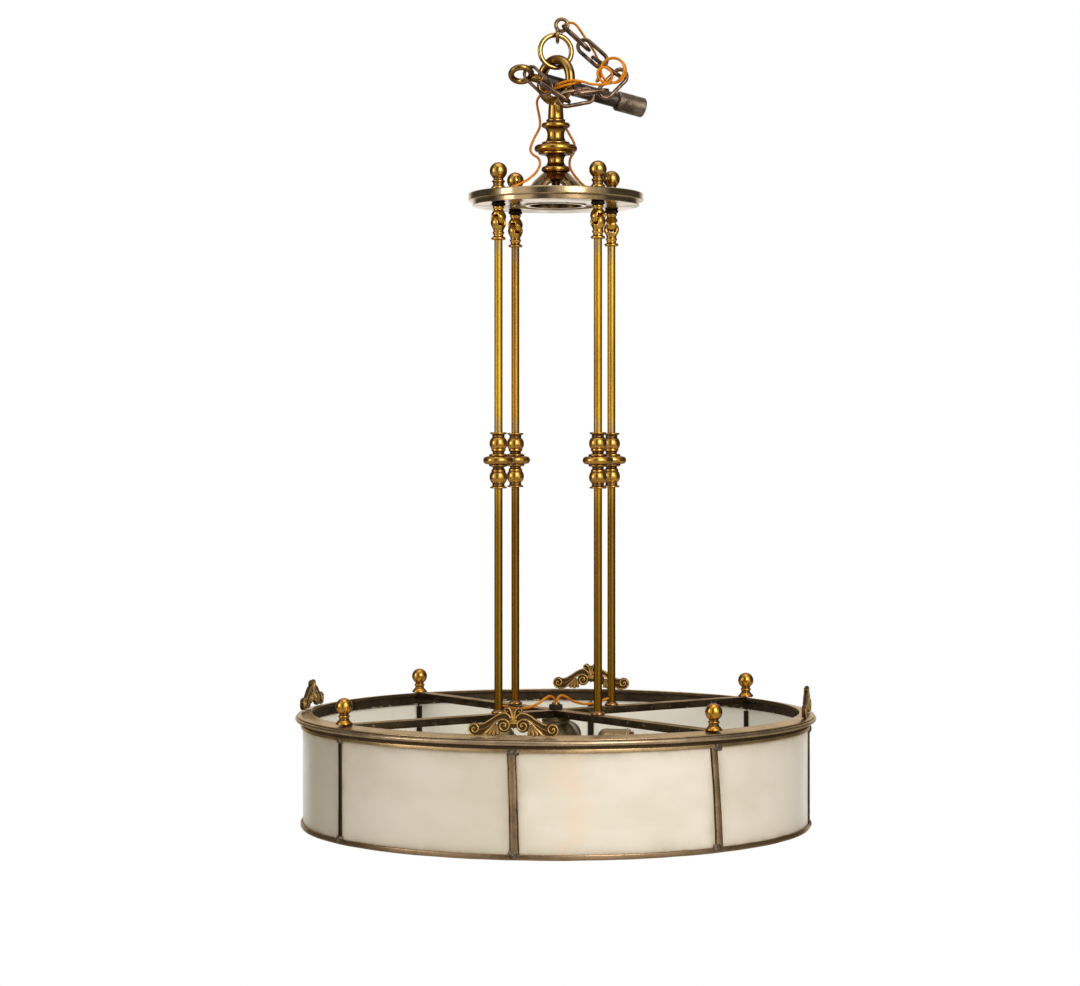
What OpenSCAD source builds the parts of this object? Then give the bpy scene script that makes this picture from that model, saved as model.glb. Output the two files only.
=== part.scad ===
// Brass downrod chandelier with an eight-panel glass drum.
// Millimetres. The origin is the inside top of the hook loop that carries the fitting, and +Z is up.
// The crests stand on the X and Y axes, and the rods, crossbars and rim finials on the diagonals.

/* [Shade drum] */
// Largest diameter of the drum, over the bead of the gallery moulding
drum_d = 610; // [540:5:680]
// Height of glass seen between the bottom ring and the came above it
glass_h = 108.6; // [80:0.2:150]
// Thickness of the curved glass
glass_t = 3; // [2.4:0.1:3.6]
// Height of the bottom ring
bottom_ring_h = 6.6; // [5:0.1:9]
// Height of the came round the top of the glass
came_h = 4.2; // [3.6:0.1:6]
// Height of the shadow gap between the came and the gallery moulding
came_gap = 2; // [1:0.1:3]
// Height of the gallery moulding at its outer edge
moulding_h = 8.6; // [7.6:0.1:11]
// Width of the flat flange on top of the moulding
flange_w = 18; // [14:0.5:24]
// Width of the flat strip that covers each joint between two panes
strip_w = 9.5; // [6:0.5:12]

/* [Crossbars] */
// Width of each crossbar
bar_w = 16; // [12:0.5:18]
// Depth of each crossbar
bar_h = 8.5; // [7.6:0.1:12]

/* [Rods] */
// Radius of the circle that the four rods stand on
rod_ring_r = 82.2; // [78:0.2:87]
// Outside diameter of the rod tube
rod_d = 9.5; // [8.5:0.1:10.5]
// Wall of the rod tube
rod_wall = 1.2; // [0.8:0.1:1.6]
// Length of rod seen below the middle collar
rod_low = 260.5; // [150:0.5:400]
// Length of rod seen above the middle collar
rod_high = 222.5; // [120:0.5:400]
// Diameter of the disc at the middle of each collar
collar_disc_d = 35.5; // [30:0.5:40]

/* [Interlocking eyes] */
// Outside diameter of each eye
eye_d = 18.5; // [18:0.1:20]
// Thickness of the bar that each eye is bent from
eye_bar = 5.8; // [5.2:0.1:5.9]

/* [Top plate] */
// Diameter of the top plate
plate_d = 206; // [196:1:230]
// Diameter of the hole in the middle of the top plate
plate_hole_d = 62; // [50:1:66]
// Thickness of the top plate at its rim
plate_t = 14.6; // [12:0.2:18]

/* [Spider and stem] */
// Diameter that the spider's four feet stand on
spider_foot_d = 80; // [76:1:90]
// Height of the spider above the plate
spider_h = 24.6; // [20:0.2:32]
// Diameter of the big disc of the stem
stem_disc_d = 50.6; // [46:0.2:56]
// Diameter of the hook loop's bar
loop_bar = 11.5; // [10:0.1:12.5]
// Outside diameter of the hook loop
loop_d = 59.8; // [56:0.2:64]

/* [Suspension chain] */
// Outside diameter of the suspension ring
hang_ring_d = 44; // [43:0.2:46]
// Diameter of the suspension ring's bar
hang_ring_bar = 6; // [5:0.1:6.2]
// Length of one chain link
link_l = 46; // [45.6:0.1:46.4]
// Width of one chain link
link_w = 21; // [20.6:0.1:21.2]
// Diameter of the wire of the chain
link_wire = 4; // [3.4:0.1:4.1]
// Length of the pipe that the ceiling eye is screwed to
pipe_l = 112; // [105:1:118]
// Outside diameter of the pipe
pipe_d = 17.1; // [16:0.1:17.4]
// Outside diameter of the pipe's coupling
coupling_d = 23.6; // [22:0.2:25]
// Length of the coupling
coupling_l = 35; // [32:1:40]

/* [Lamp holders] */
// Outside diameter of each lamp holder
holder_d = 34; // [32:0.5:36]
// Length of the wide shell of each lamp holder
holder_l = 40; // [34:0.5:44]
// Distance from the middle of the fitting to the shoulder of each holder
holder_start = 48; // [44:0.5:54]

/* [Finials and crests] */
// Diameter of the balls on the drum's rim
rim_ball_d = 19; // [16:0.5:21]
// Diameter of the balls on the top plate
plate_ball_d = 19.6; // [17:0.2:22]
// Width of each crest
crest_w = 97; // [84:1:110]
// Thickness of the plate that each crest is cast from
crest_t = 3; // [2.4:0.1:4]

/* [Lamp wire] */
// Diameter of the lamp wire
lamp_wire_d = 3; // [2.4:0.1:3]

/* [Hidden] */
$fn = 72;

clear = 0.3;        // gap left between pieces that only stand close
fit = 0.05;         // gap round a tube in its collar

// Heights above the lower edge of the drum.
glass_seat = 3;                                   // glass held in the bottom ring
came_lo = bottom_ring_h + glass_h;
came_top = came_lo + came_h;
mould_lo = came_top + came_gap;
mould_top = mould_lo + moulding_h;
flange_rise = 3;                                  // the flange falls this much from its inner edge
flange_top = mould_top + flange_rise;
flange_under = flange_top - 4.6;
bar_top = flange_top + 0.5;
bar_lo = bar_top - bar_h;
foot_h = 4.5;
collar_half_h = 32.5;                             // each collar is the same above and below its disc
collar_h = 2 * collar_half_h;
collar_mid = bar_top + rod_low + collar_half_h;
collar_lo = bar_top + rod_low;
rod_top = collar_lo + collar_h + rod_high;
bead_h = 10.6;                                    // flange, neck and bead at the top of each rod
eye_r = (eye_d - eye_bar) / 2;
eye_drop = 6.5;                                   // the upper eye sits this much above the lower one
low_eye_z = rod_top + bead_h + eye_d / 2;
high_eye_z = low_eye_z + eye_drop;
eye_cap_top = high_eye_z + eye_d / 2 + 3.9;
rod_collar_h = 4.1;
plate_lo = eye_cap_top + rod_collar_h;
plate_top = plate_lo + plate_t;
spider_top = plate_top + spider_h;
stem_h = 78.7;
stem_top = spider_top + stem_h;
loop_z = stem_top + loop_d / 2;
hang_h = loop_z + loop_d / 2 - loop_bar;          // height of the origin above the drum's lower edge

// Radii of the drum, from its widest bead inwards.
drum_r = drum_d / 2;
edge_r = drum_r - 2;                              // outer edge of the flange
flange_r = edge_r - flange_w;                     // inner edge of the flange
skin_r = drum_r - 6.2;                            // face of the came, the strips and the bottom ring
glass_out = skin_r - 2.8;
glass_in = glass_out - glass_t;
band_out = glass_in - 0.6;
band_t = 2.4;
finial_r = flange_r + 6.5;

// Places round the drum.
crest_turns = [0, 90, 180, 270];
rod_turns = [45, 135, 225, 315];
pane_step = 45;

brass = [0.66, 0.5, 0.2];
old_brass = [0.5, 0.43, 0.33];
nickel_brass = [0.62, 0.57, 0.46];
dark_metal = [0.2, 0.18, 0.15];
bronze = [0.36, 0.28, 0.22];
steel = [0.24, 0.23, 0.22];
ivory = [0.93, 0.89, 0.8];
copper = [0.72, 0.45, 0.25];
wire_gold = [0.88, 0.55, 0.14];

// Raises a piece drawn from the drum's lower edge to its height under the origin.
module from_drum() translate([0, 0, -hang_h]) children();

// One copy at each of the four rods.
module at_rods(r = rod_ring_r) for (a = rod_turns) rotate([0, 0, a]) translate([r, 0, 0]) children();

// Half outline of a turned bead of radius r and height h, rounded with radius rho.
module bulge(z, r, h, rho) {
    translate([0, z - h / 2]) square([max(r - rho, 0.1), h]);
    intersection() {
        translate([r - rho, z]) circle(rho);
        translate([0, z - h / 2]) square([r + 1, h]);
    }
}

// Half outline of a plain or tapered neck from z0 to z1.
module neck(z0, r0, z1, r1) polygon([[0, z0], [r0, z0], [r1, z1], [0, z1]]);

// Half outline of a hollowed neck: a cove of depth d cut into a straight drum.
module cove(z0, z1, r, d) difference() {
    translate([0, z0]) square([r, z1 - z0]);
    translate([r + coved_r(z1 - z0, d) - d, (z0 + z1) / 2]) circle(coved_r(z1 - z0, d));
}
function coved_r(h, d) = (h * h / 4 + d * d) / (2 * d);

// Shade drum.

// Section of the gallery moulding: flat flange, rounded bead, cove and a leg on the came.
module gallery_ring() color(old_brass) from_drum() rotate_extrude($fn = 144) {
    bead_z = mould_top - 2.6;
    bead_r = 1.5;
    difference() {
        polygon([
            [flange_r, flange_top], [edge_r, mould_top], [edge_r - 0.9, mould_top - 0.7],
            [edge_r, bead_z + bead_r], [edge_r + 0.2, bead_z - bead_r], [skin_r + 1.2, mould_lo],
            [skin_r - 0.6, mould_lo], [skin_r - 0.6, came_top], [skin_r - 2.4, came_top],
            [skin_r - 2.4, mould_lo + 2], [edge_r - 4, flange_under],
            [flange_r + 2, flange_under], [flange_r, flange_under + 1.6]
        ]);
        translate([edge_r + 2.6, mould_lo + 0.6]) circle(4.2);
    }
    translate([drum_r - bead_r, bead_z]) circle(bead_r);
}

// Dark band inside the glass, notched for the four crossbar ends.
band_lo = came_lo + 2.5;
band_h = 10;
module inner_band() color(dark_metal) from_drum() difference() {
    rotate_extrude($fn = 144)
        translate([band_out - band_t, band_lo]) square([band_t, band_h]);
    for (a = rod_turns) rotate([0, 0, a]) translate([flange_r, -bar_w / 2 - clear, bar_lo - clear])
        cube([flange_w, bar_w + 2 * clear, bar_h]);
}

// Came over the top edge of the glass: an outer leaf and a web.
module glass_came() color(old_brass) from_drum() rotate_extrude($fn = 144) polygon([
    [skin_r, came_lo], [skin_r, came_top], [band_out, came_top], [band_out, came_top - 1.4],
    [glass_out + clear, came_top - 1.4], [glass_out + clear, came_lo]
]);

// Bottom ring: an angle that the glass stands in.
module bottom_ring() color(old_brass) from_drum() rotate_extrude($fn = 144) polygon([
    [skin_r - 0.8, 0], [skin_r, 0.8], [skin_r, bottom_ring_h - 0.8], [skin_r - 0.8, bottom_ring_h],
    [glass_out + clear, bottom_ring_h], [glass_out + clear, glass_seat - clear],
    [glass_in - clear, glass_seat - clear], [glass_in - clear, bottom_ring_h - 1.4],
    [glass_in - clear - 1.6, bottom_ring_h - 1.4], [glass_in - clear - 1.6, 0]
]);

// One pane, an eighth of a cylinder less the web of the joint.
web_t = 2;
pane_gap = asin((web_t / 2 + clear) / glass_in);
module pane(i) color(ivory) from_drum()
    rotate([0, 0, pane_step * (i - 1) + pane_gap])
        rotate_extrude(angle = pane_step - 2 * pane_gap, $fn = 144)
            translate([glass_in, glass_seat]) square([glass_t, came_top - 1.4 - clear - glass_seat]);
module glass_panel_1() pane(1);
module glass_panel_2() pane(2);
module glass_panel_3() pane(3);
module glass_panel_4() pane(4);
module glass_panel_5() pane(5);
module glass_panel_6() pane(6);
module glass_panel_7() pane(7);
module glass_panel_8() pane(8);

// Came at each joint between two panes: outer strip, web and inner strip, with solder at both ends.
strip_t = 1.3;
module mullions() color(old_brass) from_drum() for (i = [0:7]) rotate([0, 0, pane_step * i]) {
    lo = bottom_ring_h + 0.1;
    hi = came_lo - 0.1;
    difference() {
        translate([glass_out + clear, -strip_w / 2, lo]) cube([strip_t, strip_w, hi - lo]);
        for (s = [-1, 1]) translate([glass_out + clear + strip_t, s * strip_w / 2, lo - 1])
            rotate([0, 0, 45]) cube([1, 1, hi - lo + 2], center = false);
    }
    translate([glass_in - clear, -web_t / 2, lo]) cube([glass_t + 2 * clear + 0.1, web_t, hi - lo]);
    translate([glass_in - clear - 1, -strip_w * 0.4, lo]) cube([1, strip_w * 0.8, hi - lo]);
}

// Crests.

crest_k = crest_w / 97;                // the casting's outline is drawn for a crest 97 wide

// Points of a flat spiral from radius r0 at angle a0 to radius r1 at angle a1.
function spiral(c, r0, a0, r1, a1, n) = [for (i = [0:n])
    let (t = i / n, a = a0 + (a1 - a0) * t, r = r0 + (r1 - r0) * t)
    [c[0] + r * cos(a), c[1] + r * sin(a)]];
// Points of a cubic curve.
function curve(p, q, r, s, n) = [for (i = [0:n])
    let (t = i / n, u = 1 - t)
    u * u * u * p + 3 * u * u * t * q + 3 * u * t * t * r + t * t * t * s];
// Unit normal of a path at point i.
function path_n(p, i) =
    let (a = p[max(i - 1, 0)], b = p[min(i + 1, len(p) - 1)], d = b - a)
    [-d[1], d[0]] / norm(d);
// A ribbon of width w about a path, tapering to w1.
module ribbon(p, w, w1) polygon(concat(
    [for (i = [0:len(p) - 1]) p[i] + path_n(p, i) * (w + (w1 - w) * i / len(p)) / 2],
    [for (i = [len(p) - 1:-1:0]) p[i] - path_n(p, i) * (w + (w1 - w) * i / len(p)) / 2]
));

outer_eye = [43, 8.3];
inner_eye = [10.9, 14.4];
volute_r = 7;
volute_low = outer_eye[1] - volute_r;  // lowest point of the outline, which stands on the flange
// Right-hand scroll: out of the outer volute, up the ribbon and into the inner volute.
sweep = curve([45.5, 13.2], [36, 19], [24, 29], [12.5, 23.6], 14);
module mirrored() {
    children();
    mirror([1, 0]) children();
}
// A leaf lobe with a round tip.
module lobe(x, y, w, l, a) translate([x, y]) rotate([0, 0, a]) {
    translate([-w / 2, 0]) square([w, l - w / 2]);
    translate([0, l - w / 2]) circle(w / 2, $fn = 24);
}
module crest_outline() mirrored() {
    translate(outer_eye) circle(volute_r, $fn = 36);
    translate(inner_eye) circle(7.5, $fn = 36);
    ribbon(sweep, 6, 6);
    lobe(31, 14, 5, 12.5, 152);
    lobe(27, 15, 5, 13.5, 164);
    lobe(22.5, 16, 5, 14.2, 174);
    lobe(18, 15, 4.6, 13, 186);
    translate([-0.1, 12]) square([6, 5]);
    lobe(0, 18, 8, 14, 0);
    lobe(4, 18, 6, 12, -32);
    translate([8.6, 26.5]) circle(3.2, $fn = 24);
}
// Raised rims: the scrolls' edges and the ribs of the leaves.
module crest_rims() mirrored() {
    ribbon(spiral(outer_eye, 6.2, 60, 1.4, 60 - 560, 30), 1.3, 1.3);
    ribbon(spiral(inner_eye, 6.7, 100, 1.4, 100 + 560, 30), 1.3, 1.3);
    for (s = [-1, 1]) ribbon([for (i = [0:len(sweep) - 1]) sweep[i] + path_n(sweep, i) * 2.3 * s], 1.2, 1.2);
    lobe(30.6, 13, 1.2, 9, 152);
    lobe(26.6, 14, 1.2, 10, 164);
    lobe(22.2, 15, 1.2, 11, 174);
    lobe(17.8, 14, 1.2, 10, 186);
    lobe(0, 19, 1.6, 11.5, 0);
    lobe(4, 20, 1.3, 8.5, -32);
    translate([8.6, 26.5]) circle(1.5, $fn = 24);
}
// Crest standing on the flange, its face turned outwards.
module crest(a) color(bronze) from_drum() rotate([0, 0, a]) translate([finial_r + 4, 0, 0]) {
    foot_z = flange_top - flange_rise * (finial_r + 4 - crest_t - flange_r) / flange_w + fit;
    rotate([90, 0, 90]) translate([0, foot_z - volute_low * crest_k, -crest_t]) {
        linear_extrude(crest_t) scale(crest_k) crest_outline();
        translate([0, 0, crest_t - 0.2]) linear_extrude(1.5) scale(crest_k) crest_rims();
    }
}
module crest_1() crest(crest_turns[0]);
module crest_2() crest(crest_turns[1]);
module crest_3() crest(crest_turns[2]);
module crest_4() crest(crest_turns[3]);

// Ball finial: flared base, neck and ball, drawn up from z = 0.
module finial(ball_d, h, base_d, neck_d) rotate_extrude() {
    bulge(1.2, base_d / 2, 2.4, 1.2);
    neck(2.4, base_d / 2 - 2, 4.4, neck_d / 2 + 1.2);
    cove(4.4, 8.2, neck_d / 2 + 1.2, 1.2);
    bulge(9.2, neck_d / 2 + 2, 2, 1);
    neck(10, neck_d / 2 - 0.6, h - ball_d / 2, neck_d / 2 - 0.6);
    intersection() {
        translate([0, h - ball_d / 2]) circle(ball_d / 2);
        translate([0, 0]) square([ball_d, h + 1]);
    }
}
rim_finial_h = 30;
finial_base_d = 18;
finial_seat = flange_top - 0.2;
module rim_finials() color(brass) from_drum() for (a = rod_turns) rotate([0, 0, a])
    translate([finial_r, 0, finial_seat]) finial(rim_ball_d, rim_finial_h, finial_base_d, 8.5);

// Crossbars and the lamp cluster.

bar_reach = skin_r - 2.4 - clear - 2.5;      // the bars end under the flange
module bar(a) from_drum() rotate([0, 0, a]) difference() {
    translate([-bar_reach, -bar_w / 2, bar_lo]) cube([2 * bar_reach, bar_w, bar_h]);
    for (s = [0, 180]) rotate([0, 0, s]) translate([flange_r - clear, -bar_w, flange_under - 0.1])
        cube([flange_w * 2, 2 * bar_w, bar_h]);
    for (s = [0, 180]) rotate([0, 0, s]) translate([finial_r, 0, finial_seat - 0.1])
        cylinder(h = bar_h, r = finial_base_d / 2 + clear);
    cylinder(h = 3 * bar_top, r = nipple_d / 2 + fit, center = true);
}
nipple_d = 9.8;
half_lap = (bar_top + bar_lo) / 2;
module cross_bar_1() color(dark_metal) difference() {
    bar(rod_turns[0]);
    from_drum() rotate([0, 0, rod_turns[0]])
        translate([-bar_w / 2 - fit, -bar_w, half_lap]) cube([bar_w + 2 * fit, 2 * bar_w, bar_h]);
}
module cross_bar_2() color(dark_metal) difference() {
    bar(rod_turns[1]);
    from_drum() rotate([0, 0, rod_turns[1]])
        translate([-bar_w / 2 - fit, -bar_w, half_lap - bar_h]) cube([bar_w + 2 * fit, 2 * bar_w, bar_h]);
}

dome_r = 30;
dome_z = bar_lo - 3 - dome_r;
neck_r = 16;
nut_h = 6.3;
nipple_top = bar_top + nut_h + 2.2;
wire_hole_d = 6.4;
module centre_nut() color(dark_metal) from_drum() translate([0, 0, bar_top]) difference() {
    cylinder(h = nut_h, r = 8.6, $fn = 6);
    translate([0, 0, -1]) cylinder(h = nut_h + 2, r = nipple_d / 2 + fit);
}
module centre_nipple() color(brass) from_drum() difference() {
    translate([0, 0, dome_z + 8]) cylinder(h = nipple_top - dome_z - 8, r = nipple_d / 2);
    translate([0, 0, dome_z]) cylinder(h = dome_r * 3, r = wire_hole_d / 2);
}
arm_z = dome_z + 3;
arm_d = 14;
// Spun dome with a neck, open below, bored for the nipple and the four arms.
module cluster_body() color(old_brass) from_drum() difference() {
    rotate_extrude() difference() {
        union() {
            intersection() {
                translate([0, dome_z]) circle(dome_r);
                translate([0, dome_z]) square(dome_r * 2);
            }
            translate([0, dome_z - 14]) square([dome_r, 14.1]);
            translate([0, dome_z]) square([neck_r, bar_lo - dome_z]);
        }
        intersection() {
            translate([0, dome_z]) circle(dome_r - 1.6);
            translate([-1, dome_z - 0.1]) square([dome_r * 2, dome_r - 8]);
        }
        translate([-1, dome_z - 15]) square([dome_r - 0.6, 15.1]);
    }
    cylinder(h = 3 * bar_top, r = nipple_d / 2 + fit, center = true);
    for (a = crest_turns) rotate([0, 0, a]) translate([0, 0, arm_z]) rotate([0, 90, 0])
        cylinder(h = dome_r * 2, r = arm_d / 2 + fit);
}
// Cap that closes the cluster from below, with a small turned knob.
module cluster_cap() color(old_brass) from_drum() translate([0, 0, dome_z - 14]) rotate_extrude() {
    neck(-2.2, dome_r - 3, 0, dome_r + 0.4);
    neck(-6, 8, -2.2, dome_r - 3);
    bulge(-10, 6.5, 8, 4);
}
// Short tube that carries each lamp holder.
module lamp_arms() color(brass) from_drum() for (a = crest_turns) rotate([0, 0, a])
    translate([dome_r - 8, 0, arm_z]) rotate([0, 90, 0]) difference() {
        cylinder(h = holder_start - dome_r + 8, r = arm_d / 2);
        translate([0, 0, -1]) cylinder(h = holder_start, r = arm_d / 2 - 2);
    }
// Holder shell: bored shoulder, rounded cap and a straight skirt, open outwards.
shell_t = 1.2;
module holder(i) color(brass) from_drum() rotate([0, 0, crest_turns[i]]) translate([holder_start, 0, arm_z])
    rotate([0, 90, 0]) rotate_extrude() difference() {
        union() {
            translate([0, 0]) square([arm_d / 2 + 2, 4]);
            intersection() {
                translate([holder_d / 2 - 9, 11]) circle(9);
                translate([0, 2]) square([holder_d / 2, 9]);
            }
            translate([0, 2]) square([holder_d / 2 - 9, 9]);
            translate([0, 11]) square([holder_d / 2, holder_l - 11]);
            bulge(holder_l - 3, holder_d / 2 + 0.8, 3, 1.5);
        }
        translate([-1, 11]) square([holder_d / 2 - shell_t + 1, holder_l]);
        translate([-1, -1]) square([arm_d / 2 - 2 + 1, 14]);
    }
module lamp_holder_1() holder(0);
module lamp_holder_2() holder(1);
module lamp_holder_3() holder(2);
module lamp_holder_4() holder(3);
// Screw shell that takes the lamp's cap, and the insulator behind it.
screw_r = 13.3;
module at_holders(d) from_drum() for (a = crest_turns) rotate([0, 0, a])
    translate([holder_start + d, 0, arm_z]) rotate([0, 90, 0]) children();
module screw_shells() color(copper) at_holders(16) difference() {
    cylinder(h = holder_l - 16 + 4, r = screw_r + 1);
    translate([0, 0, -1]) cylinder(h = holder_l, r = screw_r);
}
module socket_insulators() color(dark_metal) at_holders(11) difference() {
    cylinder(h = 5, r = holder_d / 2 - shell_t - fit);
    translate([0, 0, -1]) cylinder(h = 7, r = 3);
}

// Rods, collars and interlocking eyes. The first and third rods carry the wire.

wire_hole_r = lamp_wire_d / 2 + 0.6;
lead_in_h = 9;                          // the wire enters those rods this much above the crossbar

module down_rod(i) color(brass) from_drum() rotate([0, 0, rod_turns[i]]) translate([rod_ring_r, 0, bar_top])
    difference() {
        cylinder(h = rod_top - bar_top, r = rod_d / 2);
        translate([0, 0, -1]) cylinder(h = rod_top - bar_top + 2, r = rod_d / 2 - rod_wall);
        if (i % 2 == 0) translate([-rod_d, 0, lead_in_h]) rotate([0, 90, 0]) cylinder(h = rod_d, r = wire_hole_r);
    }
module down_rod_1() down_rod(0);
module down_rod_2() down_rod(1);
module down_rod_3() down_rod(2);
module down_rod_4() down_rod(3);

// Outline of one collar about the middle of its disc.
module collar_half() difference() {
    union() {
        translate([0, 0]) bulge(0, collar_disc_d / 2, 9.6, 4.8);
        bulge(6, 11, 3, 1.5);
        cove(7, 10.6, 8.4, 1.8);
        bulge(11.8, 8.4, 3, 1.5);
        bulge(19.4, 10.4, 13, 10);
        cove(25.4, 30.6, 8.4, 1.4);
        bulge(31.4, 9.9, 2.2, 1.1);
    }
    translate([-1, -9]) square([rod_d / 2 + fit + 1, 60]);
}
module rod_collars() color(brass) from_drum() at_rods() translate([0, 0, collar_mid]) rotate_extrude() {
    collar_half();
    mirror([0, 1]) collar_half();
}
// Disc round the foot of each rod.
module rod_feet() color(brass) from_drum() at_rods() translate([0, 0, bar_top]) rotate_extrude()
    difference() {
        union() {
            bulge(1.5, 8.3, 3, 1.5);
            neck(3, 6.8, foot_h, 5.8);
        }
        translate([-1, -1]) square([rod_d / 2 + fit + 1, foot_h + 2]);
    }
// Lower eye: flange, neck and bead on the rod, and the ring above.
eye_turns = [-36, -81, 9, 9];        // each eye faces its own way
root_in = 1.4;                       // an eye's tapered root ends this far short of its hole
module eye_ring() rotate([90, 0, 0]) rotate_extrude() translate([eye_r, 0]) circle(eye_bar / 2);
module lower_eyes() color(brass) from_drum() for (i = [0:3]) rotate([0, 0, rod_turns[i]])
    translate([rod_ring_r, 0, 0]) rotate([0, 0, eye_turns[i]]) {
        translate([0, 0, low_eye_z]) eye_ring();
        translate([0, 0, rod_top]) rotate_extrude() {
            bulge(1.7, 8.5, 3.4, 1.7);
            cove(3.2, 7, 6.6, 1);
            bulge(8.4, 7, 3, 1.5);
            neck(9.6, 6.4, bead_h + eye_bar - root_in, 5.6);
        }
    }
// Upper eye: the ring, a cap and the black collar under the plate.
module upper_eyes() color(brass) from_drum() for (i = [0:3]) rotate([0, 0, rod_turns[i]])
    translate([rod_ring_r, 0, 0]) rotate([0, 0, eye_turns[i] + 90]) {
        translate([0, 0, high_eye_z]) eye_ring();
        translate([0, 0, high_eye_z + eye_d / 2]) rotate_extrude() {
            neck(root_in - eye_bar, 5.2, 0.6, 6);
            bulge(2, 6.8, 3.8, 1.9);
            translate([0, 3.8]) square([8.25, rod_collar_h + 0.1]);
        }
        translate([0, 0, plate_lo]) cylinder(h = plate_t - 0.1, r = 4.6);
    }

// Top plate, spider, stem and loop.

step_h = 5.4;
step_in = 5;
plate_wire_r = rod_ring_r - 14;         // the two wire holes lie this far from the middle
module top_plate() color(nickel_brass) from_drum() difference() {
    translate([0, 0, plate_lo]) rotate_extrude($fn = 144) difference() {
        polygon([
            [plate_hole_d / 2, 0], [plate_d / 2 - step_in, 0], [plate_d / 2 - step_in, step_h],
            [plate_d / 2 - 1, step_h], [plate_d / 2, step_h + 1], [plate_d / 2, plate_t - 1],
            [plate_d / 2 - 1, plate_t], [plate_hole_d / 2, plate_t]
        ]);
        // The underside is dished between the rim and the middle hole.
        translate([plate_hole_d / 2 + 5, -1]) square([14, 4]);
    }
    at_rods() cylinder(h = 3 * plate_top, r = 4.6 + fit, center = true);
    for (a = [rod_turns[0], rod_turns[2]]) rotate([0, 0, a]) translate([plate_wire_r, 0, 0])
        cylinder(h = 3 * plate_top, r = wire_hole_r, center = true);
}
module plate_finials() color(brass) from_drum() at_rods() translate([0, 0, plate_top]) rotate_extrude() {
    h = 32;
    bulge(2.2, 8.5, 4.4, 2.2);
    cove(4, 9, 7.2, 1);
    bulge(9.8, 7.8, 2.4, 1.2);
    neck(10.5, 6, 14, 6);
    intersection() {
        translate([0, h - plate_ball_d / 2]) circle(plate_ball_d / 2);
        square([plate_ball_d, h + 1]);
    }
}

// Cone of four broad straps between the plate and the stem, cut by four arches.
spider_top_r = 15;
spider_t = 2.6;
spider_turn = 10;                       // the arches stand a little off the crests
arch_r = 13.5;
arch_rise = 2;                          // the arches are centred this far above the plate's top
stem_bore_r = 5;
module cone_outline(in) polygon([
    [0, -in], [spider_foot_d / 2 - in, -in], [spider_foot_d / 2 - in - 1.5, 1.6],
    [spider_top_r + 13 - in, spider_h * 0.52 - in * 0.4], [spider_top_r + 2 - in, spider_h - 1.4 - in],
    [spider_top_r - 1 - in, spider_h - in], [0, spider_h - in]
]);
module spider() color(nickel_brass) from_drum() translate([0, 0, plate_top]) difference() {
    rotate_extrude() difference() {
        cone_outline(0);
        cone_outline(spider_t);
    }
    for (a = crest_turns) rotate([0, 0, a + spider_turn]) translate([0, 0, arch_rise]) rotate([0, 90, 0])
        cylinder(h = spider_foot_d, r = arch_r);
    cylinder(h = 3 * spider_h, r = stem_bore_r + fit);
}
module stem() color(brass) from_drum() translate([0, 0, spider_top]) difference() {
    union() {
        rotate_extrude() {
            bulge(3.8, 17, 7.6, 3.8);
            cove(7, 21.5, 14, 4.4);
            bulge(22.6, 20.5, 3.4, 1.7);
            bulge(28.3, stem_disc_d / 2, 9, 4.5);
            bulge(34.4, 16.6, 3.6, 1.8);
            cove(35.6, 52.6, 13, 3);
            bulge(55.6, 16.8, 6.4, 3.2);
            neck(58.2, 12.6, 60, 11);
            bulge(61.4, 11.4, 3.2, 1.6);
            neck(62.6, 9.4, stem_top - spider_top, 8.6);
        }
        translate([0, 0, -18]) cylinder(h = 18.5, r = stem_bore_r);
    }
    translate([0, 0, stem_top - spider_top - 14]) cylinder(h = 20, r = loop_pin_r + fit);
}
stem_nut_h = 7;
module stem_nut() color(dark_metal) from_drum() translate([0, 0, spider_top - spider_t - stem_nut_h - 0.1])
    difference() {
        cylinder(h = stem_nut_h, r = 8.6, $fn = 6);
        translate([0, 0, -1]) cylinder(h = stem_nut_h + 2, r = stem_bore_r + fit);
    }

loop_r = (loop_d - loop_bar) / 2;
loop_c = -loop_r + loop_bar / 2;        // centre of the loop below the origin
loop_turn = -37;                        // the loop stands across the view
loop_pin_r = 3.4;
module hook_loop() color(brass) rotate([0, 0, loop_turn]) {
    translate([0, 0, loop_c]) rotate([90, 0, 0]) rotate_extrude() translate([loop_r, 0]) circle(loop_bar / 2);
    from_drum() translate([0, 0, stem_top]) {
        cylinder(h = 5, r1 = 8.6, r2 = 5.5);
        translate([0, 0, -12]) cylinder(h = 13, r = loop_pin_r);
    }
}

// Suspension ring and chain, drawn as they hang in front of the viewer and turned to the front.
front_turn = 9;
ring_turn = 15;                         // the ring stands across the loop, a little off the front
module at_front() rotate([0, 0, front_turn]) children();
hang_r = (hang_ring_d - hang_ring_bar) / 2;
hang_c = hang_r - hang_ring_bar / 2 - clear;
hang_top = hang_c + hang_r;             // middle of the ring's bar at its top
module suspension_ring() color(brass) at_front() rotate([0, 0, ring_turn]) translate([0, 0, hang_c])
    rotate([90, 0, 0]) rotate_extrude() translate([hang_r, 0]) circle(hang_ring_bar / 2);

// Ring with two straight sides, l long and w wide outside, of wire d thick, lying on the XZ plane.
module oval_ring(l, w, d) rotate([90, 0, 0]) for (s = [0, 180]) rotate([0, 0, s]) {
    translate([(l - w) / 2, 0]) rotate([0, 0, -90]) rotate_extrude(angle = 180)
        translate([(w - d) / 2, 0]) circle(d / 2);
    translate([(w - l) / 2, (w - d) / 2, 0]) rotate([0, 90, 0]) cylinder(h = l - w, r = d / 2);
}

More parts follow.
